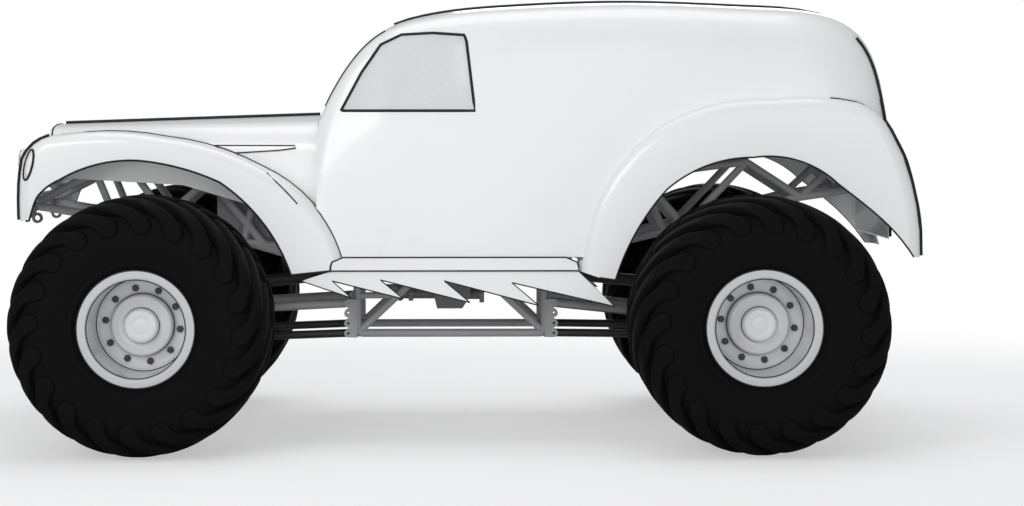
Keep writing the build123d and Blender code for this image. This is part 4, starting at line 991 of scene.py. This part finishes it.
for side_name, side in SIDES:
    verts, faces = [(LAMP_X + LENS_BOW, side * LAMP_Y, LAMP_Z)], []
    for i in range(1, LENS_RINGS + 1):
        r = LENS_R * i / LENS_RINGS
        bow = LENS_BOW * (1 - (i / LENS_RINGS) ** 2)
        for k in range(LENS_ROUND):
            t = 2 * math.pi * k / LENS_ROUND
            verts.append((LAMP_X + bow, side * LAMP_Y + r * math.cos(t), LAMP_Z + r * math.sin(t)))
    for k in range(LENS_ROUND):
        faces.append((0, 1 + k, 1 + (k + 1) % LENS_ROUND))
        for i in range(LENS_RINGS - 1):
            a0, a1 = 1 + i * LENS_ROUND + k, 1 + i * LENS_ROUND + (k + 1) % LENS_ROUND
            faces.append((a0, a0 + LENS_ROUND, a1 + LENS_ROUND, a1))
    lens = mesh_piece("lens_" + side_name, verts, faces, body="chassis", smooth=60)
    lens.data.materials.append(lens_glass)
    hoop = [(LAMP_X, side * LAMP_Y + LENS_R * math.cos(math.pi * k / 24),
             LAMP_Z + LENS_R * math.sin(math.pi * k / 24)) for k in range(49)]
    ring = mesh_piece("lens_ring_" + side_name, *bead(hoop, LENS_TUBE, 10), body="chassis", smooth=60)
    ring.data.materials.append(silver)

# An oval marker lamp leans with the nose on each fender's outer corner, in a black seal.
MARKER_X, MARKER_Z, MARKER_WIDE, MARKER_HIGH, MARKER_LEAN = 2.922, 1.866, 0.026, 0.100, 0.22
ROUND_N = 32
MARKER_SEAL_R, MARKER_LIFT, MARKER_BOW = 0.008, 0.002, 0.009
MARKER_SHARES = (1.0, 0.8, 0.6, 0.4, 0.2, 0.02)


def marker_ring(side, share, lift):
    """A closed oval on the fender's side, scaled by share."""
    starts = []
    for k in range(ROUND_N):
        t = 2 * math.pi * k / ROUND_N
        up = share * MARKER_HIGH * math.sin(t)
        starts.append((MARKER_X + share * MARKER_WIDE * math.cos(t) - MARKER_LEAN * up,
                       BESIDE * side, MARKER_Z + up))
    return lying("front_fenders", starts, [(0, -side, 0)] * ROUND_N, lift)


for side_name, side in SIDES:
    edge = marker_ring(side, 1.0, MARKER_LIFT)
    strip = mesh_piece("marker_seal_" + side_name, *bead(edge + edge[:1], MARKER_SEAL_R),
                       body="chassis", smooth=60)
    strip.data.materials.append(welt_rubber)
    verts, faces = [], []
    for share in MARKER_SHARES:
        bow = MARKER_LIFT + MARKER_BOW * (1 - share ** 2)
        verts += [tuple(p) for p in marker_ring(side, share, bow)]
    for i in range(len(MARKER_SHARES) - 1):
        for k in range(ROUND_N):
            a0, a1 = i * ROUND_N + k, i * ROUND_N + (k + 1) % ROUND_N
            faces.append((a0, a1, a1 + ROUND_N, a0 + ROUND_N))
    faces.append(tuple((len(MARKER_SHARES) - 1) * ROUND_N + k for k in range(ROUND_N)))
    marker = mesh_piece("marker_" + side_name, verts, faces, body="chassis", smooth=60)
    marker.data.materials.append(lens_glass)

# ---------------------------------------------------------------------------
# Glazing: lightly frosted polycarbonate panes, held by the rubber gaskets in the shell's
# window openings.
# ---------------------------------------------------------------------------
glass, nodes, links, shader = plain_material("polycarbonate")
shader.inputs["Base Color"].default_value = (0.96, 0.97, 0.975, 1)
shader.inputs["IOR"].default_value = 1.08
streak = nodes.new("ShaderNodeTexNoise")
streak.inputs["Scale"].default_value = 40.0
haze = nodes.new("ShaderNodeMapRange")
haze.inputs["To Min"].default_value = 0.05
haze.inputs["To Max"].default_value = 0.14
links.new(streak.outputs["Fac"], haze.inputs["Value"])
links.new(haze.outputs["Result"], shader.inputs["Roughness"])
frost = nodes.new("ShaderNodeMapRange")
frost.inputs["To Min"].default_value = 0.38
frost.inputs["To Max"].default_value = 0.46
links.new(streak.outputs["Fac"], frost.inputs["Value"])
links.new(frost.outputs["Result"], shader.inputs["Transmission Weight"])
for node in ("windshield", "side_windows", "rear_windows"):
    dressed(node, glass, 30)

# ---------------------------------------------------------------------------
# Cab: a floor of bare sheet metal on the frame, the driver's seat in the middle, which is a
# one-piece composite shell, and a steering wheel with a black moulded grip.
# ---------------------------------------------------------------------------
sheet = finish_material("bare_sheet", (0.45, 0.45, 0.46), (0.6, 0.6, 0.6), rough=0.4, metal=0.9,
                        grain=(300.0, 0.15), wear=0.3, dust=0.3)
shell = finish_material("seat_shell", (0.03, 0.03, 0.033), (0.08, 0.08, 0.08), rough=0.45,
                        grain=(500.0, 0.2), wear=0.4, dust=0.1)
grip = finish_material("black_grip", (0.02, 0.02, 0.02), (0.06, 0.06, 0.06), rough=0.6,
                       grain=(700.0, 0.5), wear=0.3, dust=0.05)
dressed("cab_floor", sheet, 35)
dressed("seat", shell, 35)
dressed("steering_wheel", grip, 45)
